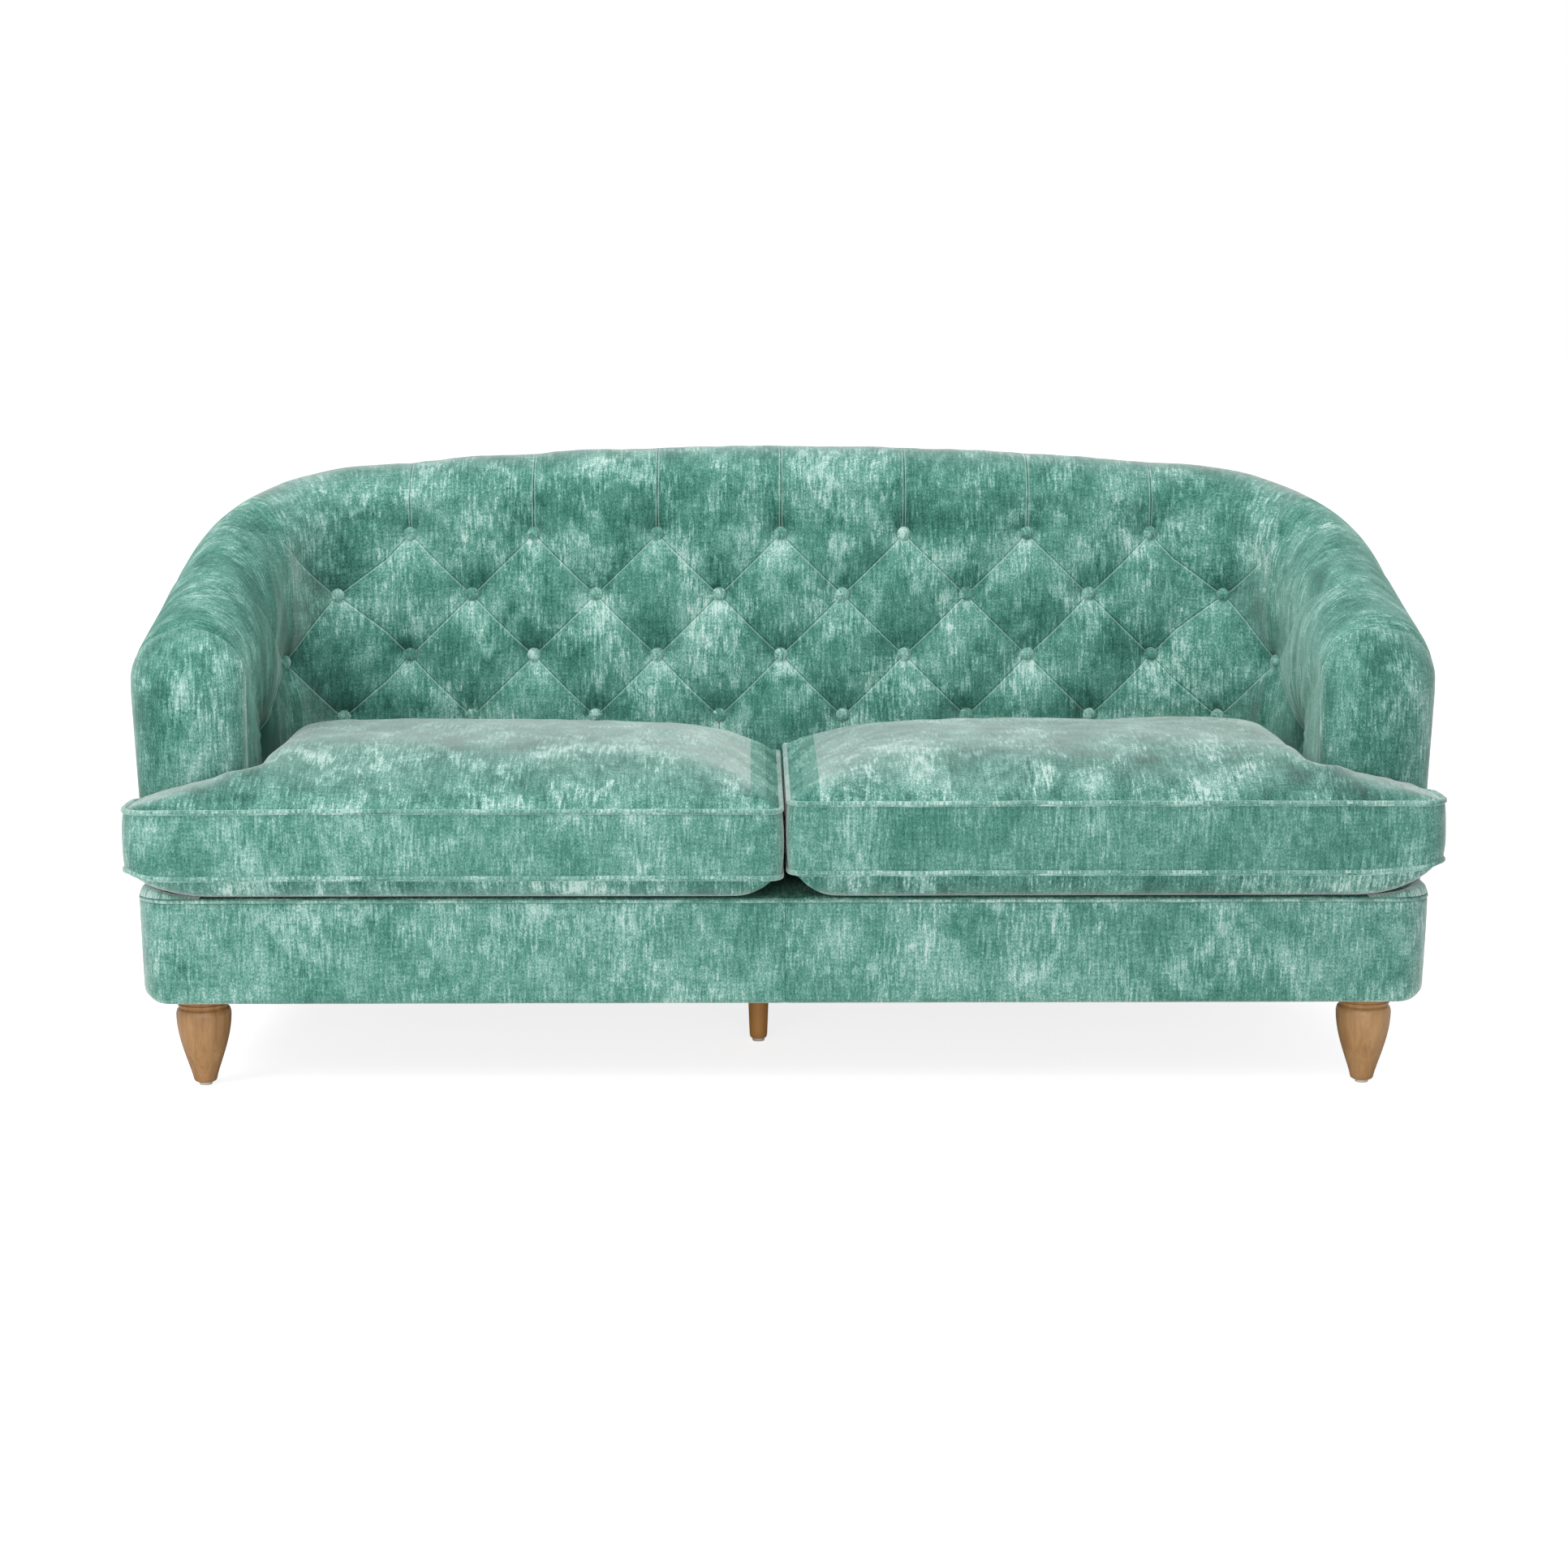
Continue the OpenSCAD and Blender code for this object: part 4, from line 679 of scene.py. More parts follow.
twine_look = plain("twine_look", linear(205, 196, 172), 0.7, scale=900)


# ---- The tufted inside cover: back, corners and arms in one ----
COVER_HEM = 0.006
# Turn of the path, in degrees, from which the velvet has less sheen, and from which, on the left only, it
# has least, as painted shade on that arm
FLATTER, LEFT_SHADE_TURN = 48, 78


def tufted_cover():
    steps, low_steps, upper_steps, end_steps = ((30, 54, 80, 60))
    inner = column_s(np.arange(-LAST * steps, LAST * steps + 1) / steps)
    outer = mix(S_LAST, ARM_END, np.arange(1, end_steps + 1) / end_steps)
    s = np.concatenate([-outer[::-1], inner, outer])[:, None]
    # Grid lines lie on the lattice up to a column's last button, and spread evenly from there on
    fixed = np.round(np.clip(LAST - column(s), 0, TOP_ROW) * steps)
    seam_steps = TOP_ROW * steps + upper_steps
    j = np.arange(seam_steps + 1)[None]
    spread = mix(row_h(fixed / steps), girth(s, SEAM_ANGLE), (j - fixed) / (seam_steps - fixed))
    low = np.tile(mix(DECK_Z + GAP, LOW_ROW_Z, np.arange(low_steps) / low_steps), (len(s), 1))
    h = np.concatenate([low, np.where(j <= fixed, row_h(j / steps), spread)], 1)
    s, h, t = hemmed(s, h, sink(s, h), COVER_HEM)
    # Each quad is cut along the pleat that crosses it
    s_mid, h_mid = (s[:-1] + s[1:]) / 2, (h[:-1, :-1] + h[1:, 1:]) / 2
    up = (np.floor(column(s_mid)) + np.floor(row(h_mid))) % 2 != 0
    faces = grid_faces(*h.shape, rising=np.where(s_mid > 0, up, ~up))
    wide = np.broadcast_to(s, h.shape)
    k, r = column(wide), row(h)
    a, b, size_a, size_b, smooth_arm = fold_lines(k, r)
    seen = (1 - smooth((over_roll(wide, h) - 100) / 40)) * np.where(smooth_arm, 0, 1)
    seen = seen * (1 - 0.6 * smooth((k + np.clip(r, 0, TOP_ROW) - LAST) / 2.5))
    # The cover carries the pleats' coordinates and the painted light and shade of its tone
    piece = make_piece("tufted_cover", velvet_back, place(s, *section(s, h, t)), faces, cloth_at(wide, h),
                       np.stack([a, b, painted_shading(wide, h)], -1), np.stack([size_a, size_b, seen], -1))
    # Less sheen round the turn and along the arms, and least on the left arm, as painted shade on that side
    face_s = wide.ravel()[faces].mean(1)
    flat = (turn(face_s) > math.radians(LEFT_SHADE_TURN)) & (face_s < 0)
    dress(piece, [velvet_turn, velvet_arm_shaded], (turn(face_s) > math.radians(FLATTER)).astype(int) + flat)
    return piece


cover = wear(tufted_cover(), "frame", "velvet", "inside_back_cover", "inside_corner_cover_left",
             "inside_corner_cover_right", "inside_arm_cover_left", "inside_arm_cover_right")

# Radius and height of a button's rings, as shares of its own, and how proud it sits in its dimple
BUTTON_RINGS = [(0.80, -0.55), (0.95, -0.35), (1.0, -0.05), (0.985, 0.2), (0.93, 0.42), (0.82, 0.62),
                (0.66, 0.78), (0.46, 0.90), (0.24, 0.97), (0.06, 1.0)]
BUTTON_SIDES = 24
BUTTON_PROUD = 0.0045


def button_points(k, r):
    """A covered button: a low dome with a turned-in rim, seated in its dimple."""
    s, h = np.array([float(column_s(k))]), np.array([row_h(r)])
    spot = place(s, *section(s, h, sink(s, h) - BUTTON_PROUD))[0]
    a, slope = float(turn(s[0])), math.atan(float(lean(s[0])))
    out = np.array([-math.copysign(math.sin(a), s[0]) * math.cos(slope), -math.cos(a) * math.cos(slope),
                    math.sin(slope)])
    side = np.cross(out, [0, 0, 1])
    side /= np.linalg.norm(side)
    up = np.cross(side, out)
    angle = np.arange(BUTTON_SIDES)[:, None] * 2 * math.pi / BUTTON_SIDES
    radius, height = np.array(BUTTON_RINGS).T
    pucker = 1 + 0.02 * np.sin(5 * angle + k) * np.where(radius > 0.8, 1, 0.3)
    ring = (BUTTON_R * radius * pucker)[..., None]
    angle = angle[..., None]
    return spot + ring * np.cos(angle) * side + ring * np.sin(angle) * up + out * BUTTON_H * height[:, None]


def tufting_buttons():
    buttons = []
    for k, r in BUTTONS:
        p = button_points(k, r)
        n, m = p.shape[:2]
        rim = np.arange(n) * m + m - 1
        cap = np.stack([np.full(n, n * m), rim, np.roll(rim, -1)], 1)
        x, y, z = np.concatenate([p.reshape(-1, 3), p[0, -1:]]).T
        buttons.append((np.concatenate([p.reshape(-1, 3), p[:, -1].mean(0)[None]]),
                        np.concatenate([grid_faces(n, m, closed=True), cap]), cloth_at(x + y, z)))
    return make_piece("covered_buttons", velvet_button, *joined(buttons))


wear(tufting_buttons(), "frame", "velvet", "tufting_buttons")


# ---- Rounded arm fronts ----
def arm_front():
    """The arm's end, drawn in from its outline to a spine down its middle."""
    rings, per_side, over = ((34, 60, 90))
    u = 1 - np.cos(quarter(rings))
    back = ARM_FRONT_R * (1 - np.sqrt(np.clip(1 - (1 - u) ** 2, 0, 1)))
    s = (S_FRONT - back)[:, None]
    zr, half = roll_z(s), roll_half(s)
    z_side = mix(DECK_Z + GAP, zr, np.linspace(0, 1, per_side)[None])
    a = np.linspace(0, math.pi, over)[None, 1:-1]
    inner, outer, q_top = q_in(s, z_side), q_out(s, z_side), q_in(s, zr) + half
    mid = (outer + inner) / 2
    edge_q = np.concatenate([inner, q_top - half * np.cos(a), outer[:, ::-1]], 1)
    edge_z = np.concatenate([z_side, zr + roll(s) * np.sin(a), z_side[:, ::-1]], 1)
    spine_q = np.concatenate([mid, q_top + 0 * a, mid[:, ::-1]], 1)
    spine_z = np.concatenate([z_side, zr + 0 * a, z_side[:, ::-1]], 1)
    across, upward, shrink = edge_q - spine_q, edge_z - spine_z, (1 - u)[:, None]
    q, z = spine_q + across * shrink, spine_z + upward * shrink
    swell = 0.0012 * ripple(q, z, 0.12, 8) * smooth((1 - shrink) * 3)
    # The cloth's own plane, with the rounding laid out away from the spine
    laid = 0.9 * (S_FRONT - s) / np.maximum(np.hypot(across, upward), 1e-6)
    return place(s + swell, q, z), cloth_at(q + laid * across, z + laid * upward)


arm_points, arm_cloth = arm_front()
for side, shift in (("right", 0.9), ("left", 0.45)):
    arm_faces = grid_faces(*arm_points.shape[:2], flip=True)
    piece = make_piece("arm_front_" + side, velvet_plain, *on_side(side, arm_points, arm_faces),
                       arm_cloth + [shift, 0, 0])
    wear(piece, "frame", "velvet", "arm_front_" + side)


# ---- Plain outside covers, with a turned edge at each seam ----
S_SEAM = (S_CORNER + S_ARM) / 2
OUTSIDE_HEM = 0.005
SEAM_TUCK, SEAM_TUCK_W = 0.0025, 0.003
SLACK, SLACK_SIZE, SLACK_FROM, DRAWN = 0.0016, 0.35, 0.08, 0.0018


def outside_cover(name, s0, s1, node):
    s = np.linspace(s0, s1, max(8, int(abs(s1 - s0) / (0.008))))[:, None]
    z = mix(LEG_H + GAP, roll_z(s), np.linspace(0, 1, 90)[None])
    q_roll, z_roll = section(s, girth(s, np.linspace(178, SEAM_ANGLE + 1, 8)[None]), 0)
    q, z = np.concatenate([q_out(s, z), q_roll], 1), np.concatenate([z, z_roll], 1)
    top = z_roll[:, -1:]
    edge = np.minimum(np.minimum(np.abs(s - s0), np.abs(s - s1)), np.minimum(z - LEG_H, top - z + 0.001))
    tuck = SEAM_TUCK * bell(edge / SEAM_TUCK_W)
    slack = SLACK * ripple(s, z, SLACK_SIZE, 11) * smooth(edge / SLACK_FROM)
    hollow = DRAWN * np.sin(math.pi * np.clip((z - LEG_H) / (top - LEG_H), 0, 1))
    s, z, q = hemmed(s, z, q - tuck + slack - hollow, -OUTSIDE_HEM)
    faces = grid_faces(*q.shape, flip=s1 > s0)
    wear(make_piece(name, velvet_plain, place(s, q, z), faces, cloth_at(s + 5, z)), "frame", "velvet", node)


outside_cover("outside_back", -S_SEAM, S_SEAM, "outside_back_cover")
outside_cover("outside_arm_right", S_SEAM, ARM_END, "outside_arm_cover_right")
outside_cover("outside_arm_left", -S_SEAM, -ARM_END, "outside_arm_cover_left")


# ---- Seat cushions ----
STEM_X = SEAT_HALF - ARM_SWELL - 0.002
EAR_X = SOFA_W / 2 - 0.006
CUSHION_X0 = 0.0015
EAR_Y = EAR_D - 0.002
STEM_Y = BACK_Y - FRONT_Y - 0.012
STEM_R = CORNER_R - 0.012
FRONT_R = 0.045
EAR_R = 0.030
SEAM_R = 0.030
SEAM_INSET = 0.005
SEAM_FADE = 0.03
BOXING_Z = DECK_Z + UNDER_H
CROWN_REACH = 0.26
CROWN_POWER = 2.5
CROWN_SIDE = 2.2
CROWN_STEM = 3.1
EAR_FALL = 0.45
PUCKER, PUCKER_W = 0.0011, 0.035
SAG, SAG_SIZE = 0.0022, 0.20
PINCH = 0.007
UNDER_REACH = 0.065
UNDER_POWER = 3.2
UNDER_EAR = 0.130
UNDER_MID = 0.070
BOXING_BULGE = 0.55
BOXING_WAVE, BOXING_WAVE_SIZE = 0.0009, 0.07
PIPING_WAVE, PIPING_WAVE_SIZE = 0.0005, 0.11
RIDGE, RIDGE_PITCH = 0.015, 0.0035
# Width of the two finishes of the side at the gap between the cushions, copies with less sheen as painted
# shade there
GAP_DARK, GAP_SHADED = 0.024, 0.050


def squared(x, y, centre, way, r):
    """Rounds the corner of a rectangular grid into a quarter circle."""
    u, v = (x - centre[0]) * way[0] / r, (y - centre[1]) * way[1] / r
    inside = (u > 0) & (v > 0)
    u, v = np.clip(u, 0, 1), np.clip(v, 0, 1)
    return (np.where(inside, centre[0] + way[0] * r * u * np.sqrt(1 - v * v / 2), x),
            np.where(inside, centre[1] + way[1] * r * v * np.sqrt(1 - u * u / 2), y))


def drawn_in(x, y, inset):
    """A place in the unrounded T, y from the front, drawn in from the T's border."""
    def near(d):
        return np.clip(1 - np.abs(d) / SEAM_FADE, 0, 1)

    in_stem = np.where(y >= EAR_Y, 1, near(EAR_Y - y))
    in_ear = np.where(x >= STEM_X, 1, near(STEM_X - x))
    dx = near(x - CUSHION_X0) - near(x - EAR_X) - near(x - STEM_X) * in_stem
    dy = near(y) - near(y - STEM_Y) - near(y - EAR_Y) * in_ear * (y <= EAR_Y + 1e-6)
    return x + dx * inset, y + dy * inset


def cushion_plan(x, y, inset):
    """Plan place of a point of the unrounded T, with the T's corners rounded."""
    across = (x - CUSHION_X0) / (EAR_X - CUSHION_X0)
    draw = SIDE_DRAW * np.sin(math.pi * across) * (1 - np.minimum(1, y / EAR_Y))
    x, y = drawn_in(x, y, inset)
    ears = x > STEM_X + 1e-6
    x, y = squared(x, y, (CUSHION_X0 + SEAM_R, SEAM_R), (-1, -1), SEAM_R - inset)
    x, y = squared(x, y, (EAR_X - FRONT_R, FRONT_R), (1, -1), FRONT_R - inset)
    ex, ey = squared(x, y, (EAR_X - EAR_R, EAR_Y - EAR_R), (1, 1), EAR_R - inset)
    x, y = np.where(ears, ex, x), np.where(ears, ey, y)
    sx, sy = squared(x, y, (STEM_X - STEM_R, STEM_Y - STEM_R), (1, 1), STEM_R - inset)
    stem = (y > EAR_Y + 1e-6) & ~ears
    return np.where(stem, sx, x), FRONT_Y + np.where(stem, sy, y) + draw


def edge_distance(x, y, fullness, end=1.0):
    """Soft distance from the T's border; beside the arms and at the ears' ends it grows at other rates."""
    corner = fullness * np.hypot(STEM_X - x, EAR_Y - y)
    ear = np.minimum(end * (EAR_X - x), fullness * (EAR_Y - y))
    outer = np.where(y > EAR_Y, fullness * (STEM_X - x),
                     np.where(x > STEM_X, ear, np.minimum(end * (EAR_X - x), corner)))
    total = sum(np.maximum(d, 1e-5) ** -3.0 for d in (x - CUSHION_X0, y, STEM_Y - y, outer))
    return total ** (-1 / 3)


def seam_heights(x, seams):
    """Heights of the lower and upper seam; the lower one curls up at the ear's end."""
    low_lift, top_lift, curl, reach = seams
    low = BOXING_Z + low_lift + curl * np.clip(1 - (EAR_X - x) / reach, 0, 1) ** 2
    return low, BOXING_Z + BOXING_H + top_lift + 0 * x


def cushion_grid(step):
    """The unrounded T's points, its border all the way round, and its upward and downward faces."""
    xs = spaced([CUSHION_X0, CUSHION_X0 + SEAM_R, STEM_X - STEM_R, STEM_X, EAR_X - FRONT_R, EAR_X], step)
    ys = spaced([0, SEAM_R, FRONT_R, EAR_Y - EAR_R, EAR_Y, STEM_Y - STEM_R, STEM_Y], step)
    gx, gy = np.meshgrid(xs, ys, indexing="ij")
    used = (gx <= STEM_X + 1e-6) | (gy <= EAR_Y + 1e-6)
    index = np.full(gx.shape, -1)
    index[used] = np.arange(used.sum())
    i, j = int(np.argmin(abs(xs - STEM_X))), int(np.argmin(abs(ys - EAR_Y)))
    rim = np.concatenate([index[:, 0], index[-1, 1:j + 1], index[i:-1, j][::-1], index[i, j + 1:],
                          index[:i, -1][::-1], index[0, 1:-1][::-1]])
    cell = (np.arange(len(xs) - 1)[:, None] < i) | (np.arange(len(ys) - 1) < j)
    a, b, c, d = index[:-1, :-1][cell], index[1:, :-1][cell], index[1:, 1:][cell], index[:-1, 1:][cell]
    upward = np.concatenate([np.stack([a, b, c], 1), np.stack([a, c, d], 1)])
    return gx[used], gy[used], rim, upward, upward[:, ::-1]


def ring_walls(levels, flip=False):
    """Faces between rings of points that lie one over another, and each face corner's grid place."""
    levels = np.array(levels)
    grid = grid_faces(levels.shape[1] + 1, len(levels), flip=flip)
    return np.concatenate([levels, levels[:, :1]], 1).T.ravel()[grid], grid.ravel()


def cushion_heights(fx, fy, seed, seams):
    """Heights of the cover's underside and crown over a place in the unrounded T."""
    d = edge_distance(fx, fy, 1)
    # The crown is steep beside the arms, and falls slowly towards the ears' ends
    on_ear = smooth((fx - STEM_X + 0.05) / 0.10) * (1 - smooth((fy - EAR_Y) / 0.05))
    d_crown = edge_distance(fx, fy, mix(CROWN_STEM, CROWN_SIDE, on_ear), mix(1, EAR_FALL, on_ear))
    low_z, top_z = seam_heights(fx, seams)
    rise = filled(d_crown, CROWN_REACH, CROWN_POWER)
    pucker = PUCKER * ripple(fx, fy, PUCKER_W, seed) * bell(d / PUCKER_W) * smooth(d / 0.006)
    sag = SAG * ripple(fx, fy, SAG_SIZE, seed + 1) + 0.0007 * ripple(fx, fy, 0.06, seed + 2)
    crown = top_z + (SEAT_H - top_z) * rise + pucker + sag * smooth(d / 0.06)
    # The filling is pushed up where the arm's front pinches the T
    pinch = bell((fx - STEM_X + 0.02) / 0.040) * bell((fy - EAR_Y - 0.02) / 0.060)
    ends = filled(EAR_X - fx, UNDER_EAR, 2) * filled(fx - CUSHION_X0, UNDER_MID, 2)
    under = low_z - (low_z - DECK_Z - GAP) * ends * filled(d, UNDER_REACH, UNDER_POWER)
    return under, crown + PINCH * pinch * smooth(d / 0.022)


def cushion_mesh(seed, seams):
    """The cover, with its seam's border places and which finish each face wears."""
    fx, fy, rim, upward, downward = cushion_grid(0.006)
    count, m = len(fx), len(rim)
    px, py = cushion_plan(fx, fy, SEAM_INSET)
    low_z, top_z = seam_heights(fx[rim], seams)
    under, crown = cushion_heights(fx, fy, seed, seams)
    under[rim], crown[rim] = low_z, top_z
    closed = np.append(rim, rim[0])
    around = lengths(np.stack([px[closed], py[closed]], 1))
    shares = np.linspace(0, 1, 18)
    rings = []
    for v in shares[1:-1]:
        bulge = math.sin(math.pi * v)
        x, y = cushion_plan(fx[rim], fy[rim], SEAM_INSET * (1 - bulge ** BOXING_BULGE))
        wave = BOXING_WAVE * np.abs(ripple(around[:-1], v * BOXING_H, BOXING_WAVE_SIZE, seed + 3)) * bulge
        nx, ny = np.roll(y, -1) - np.roll(y, 1), np.roll(x, 1) - np.roll(x, -1)
        size = np.hypot(nx, ny)
        rings.append(np.stack([x - nx / size * wave, y - ny / size * wave, mix(low_z, top_z, v)], 1))
    points = np.concatenate([np.stack([px, py, under], 1), np.stack([px, py, crown], 1)] + rings)
    between = 2 * count + np.arange(len(rings) * m).reshape(-1, m)
    walls, places = ring_walls([rim, *between, rim + count])
    flat = cloth_at(fx, fy)
    cloth = np.concatenate([flat[upward.ravel()], flat[downward.ravel()] + [0, 7, 0],
                            cloth_at(around[:, None], shares * BOXING_H + 3)[places]])
    faces = np.concatenate([upward + count, downward, walls])
    # A face's finish: the top's, the boxing's, or one of two with less sheen for the side of the gap, as
    # painted shade
    from_gap = points[faces].mean(1)[:, 0] - CUSHION_X0
    look = np.where(from_gap < GAP_DARK, 3, np.where(from_gap < GAP_SHADED, 2, 0))
    look[-len(walls):] = 1
    return points, faces, cloth, (fx[rim], fy[rim]), look


CORE_INSET = 0.020
CORE_Z = DECK_Z + 0.033
CORE_TOP = BOXING_Z + BOXING_H - 0.002
CORE_WRAP = 0.003


def core_mesh(seed, seams):
    """The foam core: a slab that thins where the cover comes closer, with its fibre wrap left free."""
    fx, fy, rim, upward, downward = cushion_grid(0.015)
    count = len(fx)
    x, y = cushion_plan(fx, fy, CORE_INSET)
    under, crown = cushion_heights(*drawn_in(fx, fy, CORE_INSET - SEAM_INSET), seed, seams)
    points = np.concatenate([np.stack([x, y, np.maximum(CORE_Z, under + CORE_WRAP)], 1),
                             np.stack([x, y, np.minimum(CORE_TOP, crown - CORE_WRAP)], 1)])
    return points, np.concatenate([upward + count, downward, ring_walls([rim, rim + count])[0]])


def tube(line, radius, sides, closed=True, ridges=0.0):
    """Points, faces and cloth of a round tube along a level line or loop."""
    way = np.roll(line, -1, 0) - np.roll(line, 1, 0) if closed else np.gradient(line, axis=0)
    out = np.stack([way[:, 1], -way[:, 0], 0 * way[:, 0]], 1)
    out /= np.linalg.norm(out, axis=1)[:, None]
    a = np.arange(sides) * 2 * math.pi / sides
    along = lengths(line)
    r = radius * (1 + ridges * np.sin(along / RIDGE_PITCH))[:, None, None]
    points = line[:, None] + r * (np.cos(a)[:, None] * out[:, None] + np.sin(a)[:, None] * [0, 0, 1])
    return (points.reshape(-1, 3), grid_faces(len(line), sides, closed=closed, ring=True),
            cloth_at(along[:, None], a * radius))


def seat_cushion(side, seed, seams, material, box_material):
    points, faces, cloth, (bx, by), look = cushion_mesh(seed, seams)
    x, y = cushion_plan(bx, by, PIPING_R)
    lift = PIPING_WAVE * ripple(x, y, PIPING_WAVE_SIZE, seed + 5)
    loops = [np.stack([x, y, z + lift], 1) for z in seam_heights(bx, seams)]
    if side == "left":
        cloth = cloth.reshape(-1, 3, 3)[:, ::-1].reshape(-1, 3) + [2.0, 1.0, 0]
        loops = [mirrored(line)[::-1] for line in loops]
    body = "cushion_" + side
    cushion = make_piece("seat_cushion_" + side, material, *on_side(side, points, faces), cloth)
    dress(cushion, [box_material] + velvet_gap_shaded, look)
    wear(cushion, body, "velvet", "seat_cushion_cover_" + side)
    tubes = [tube(line, PIPING_R, 14, ridges=RIDGE) for line in loops]
    piping = make_piece("seat_piping_" + side, velvet_piping, *joined(tubes))
    wear(piping, body, "velvet", "seat_cushion_piping_" + side)
    core = make_piece("seat_core_" + side, foam_look, *on_side(side, *core_mesh(seed, seams)))
    wear(core, body, "foam", "seat_cushion_core_" + side)


# Each seam's lifts, the lower one's curl at the ear's end and how far the curl reaches
seat_cushion("left", 21, (-0.003, -0.005, 0.010, 0.080), velvet_seat_left, velvet_box_left)
seat_cushion("right", 31, (0.004, 0.006, 0.014, 0.150), velvet_seat_right, velvet_box_right)

# ---- Base border and its welt ----
WELT_R = 0.0025
WELT_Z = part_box("base_welt")[0].z + WELT_R
BORDER_TOP = WELT_Z - WELT_R - GAP
BORDER_ROUND = 0.011
BORDER_TURN = 0.010
BORDER_START = 0.0002
BORDER_WAVE = 0.0009
BORDER_TUCK, BORDER_TUCK_W = 0.0022, 0.003
CORNER_X, CORNER_FRONT = BASE_HALF - BASE_CORNER_R, BASE_Y + BASE_CORNER_R
# How far the front corners lean in, and how far their lower edge is rounder
BORDER_LEAN, BORDER_ROUNDER = 0.0055, 0.009


def base_line(inset, x_from):
    """Plan line of the base front, from the middle round the corner and back to the arm."""
    r = BASE_CORNER_R - inset
    step = 0.008
    front = spaced([x_from, CORNER_X], step)
    a = quarter(24)[1:]
    sides = spaced([CORNER_FRONT, ARM_END_Y - GAP], step)[1:]
    return np.concatenate([np.stack([front, 0 * front + BASE_Y + inset], 1),
                           np.stack([CORNER_X + r * np.sin(a), CORNER_FRONT - r * np.cos(a)], 1),
                           np.stack([0 * sides + BASE_HALF - inset, sides], 1)])


def corner_bend(angle):
    """Share of the base corner's lean at an angle round it, which fades a little past the quarter."""
    bend = np.clip(angle / (math.pi / 2), 0, 1.25) / 1.25
    return np.sin(math.pi * bend ** 1.4) ** 2


def base_border(side, seed):
    a = quarter(12)
    rise = np.linspace(LEG_H + BORDER_ROUND, BORDER_TOP - 0.004, 34)[1:]
    profile = np.concatenate([
        [(BORDER_TURN, LEG_H + 0.0002)],
        np.stack([BORDER_ROUND * (1 - np.sin(a)), LEG_H + BORDER_ROUND * (1 - np.cos(a))], 1),
        np.stack([0 * rise, rise], 1),
        [(0.0004, BORDER_TOP - 0.0007), (0.0020, BORDER_TOP), (BORDER_TURN, BORDER_TOP)]])
    plan = np.stack([base_line(inset, BORDER_START) for inset in profile[:, 0]], 1)
    z = np.broadcast_to(profile[:, 1], plan.shape[:2])
    line = plan[:, len(profile) // 2]
    along = lengths(line)[:, None]
    tuck = BORDER_TUCK * bell(along / BORDER_TUCK_W)
    swell = 0.0008 * ripple(along, z, 0.14, seed)
    way = np.gradient(line, axis=0)
    way /= np.linalg.norm(way, axis=1)[:, None]
    out = np.stack([way[:, 1], -way[:, 0]], 1)
    # Round the corner the band leans in a little and its lower edge is rounder
    bend = corner_bend((along - CORNER_X) / BASE_CORNER_R)
    up = np.clip((z - LEG_H) / (BORDER_TOP - LEG_H), 0, 1)
    rounder = BORDER_ROUNDER * np.clip(1 - (z - LEG_H) / 0.020, 0, 1) ** 2.2
    inward = tuck + bend * (rounder + BORDER_LEAN * (1 - up) ** 1.5)
    moved = np.clip(swell, -BORDER_WAVE, BORDER_WAVE) - BORDER_WAVE - inward
    points = np.concatenate([plan + out[:, None] * moved[..., None], z[..., None]], -1)
    cloth = cloth_at(along, z) + ([4.0, 0.7, 0] if side == "left" else [0, 0, 0])
    points, faces = on_side(side, points, grid_faces(*z.shape))
    name = "base_border_" + side
    wear(make_piece(name, velvet_base, points, faces, cloth), "frame", "velvet", name)


base_border("right", 41)
base_border("left", 43)
half_line = np.pad(base_line(WELT_R, 0.0), ((0, 0), (0, 1)), constant_values=WELT_Z)
welt_line = np.concatenate([mirrored(half_line)[:0:-1], half_line])
welt = make_piece("base_welting", velvet_piping, *tube(welt_line, WELT_R, 12, closed=False))
wear(welt, "frame", "velvet", "base_welt")

# ---- Rolls under the ears that fill out the deck's front corners ----
ROLL_EDGE = 0.001
ROLL_W = 0.034
ROLL_START = 0.095
# Height along a roll, and its outline across as shares of its width and height
ROLL_MARKS = [0, 0.020, 0.040, 0.0616, 0.0832, 0.1048, 0.1264, 0.200]
ROLL_HEIGHTS = [0.0008, 0.0026, 0.006, 0.0095, 0.0125, 0.014, 0.014, 0.014]
ROLL_ACROSS = [0, 0.04, 0.13, 0.36, 0.68, 1]
ROLL_OUTLINE = [0.0, 0.45, 0.86, 1.0, 0.74, 0.0]


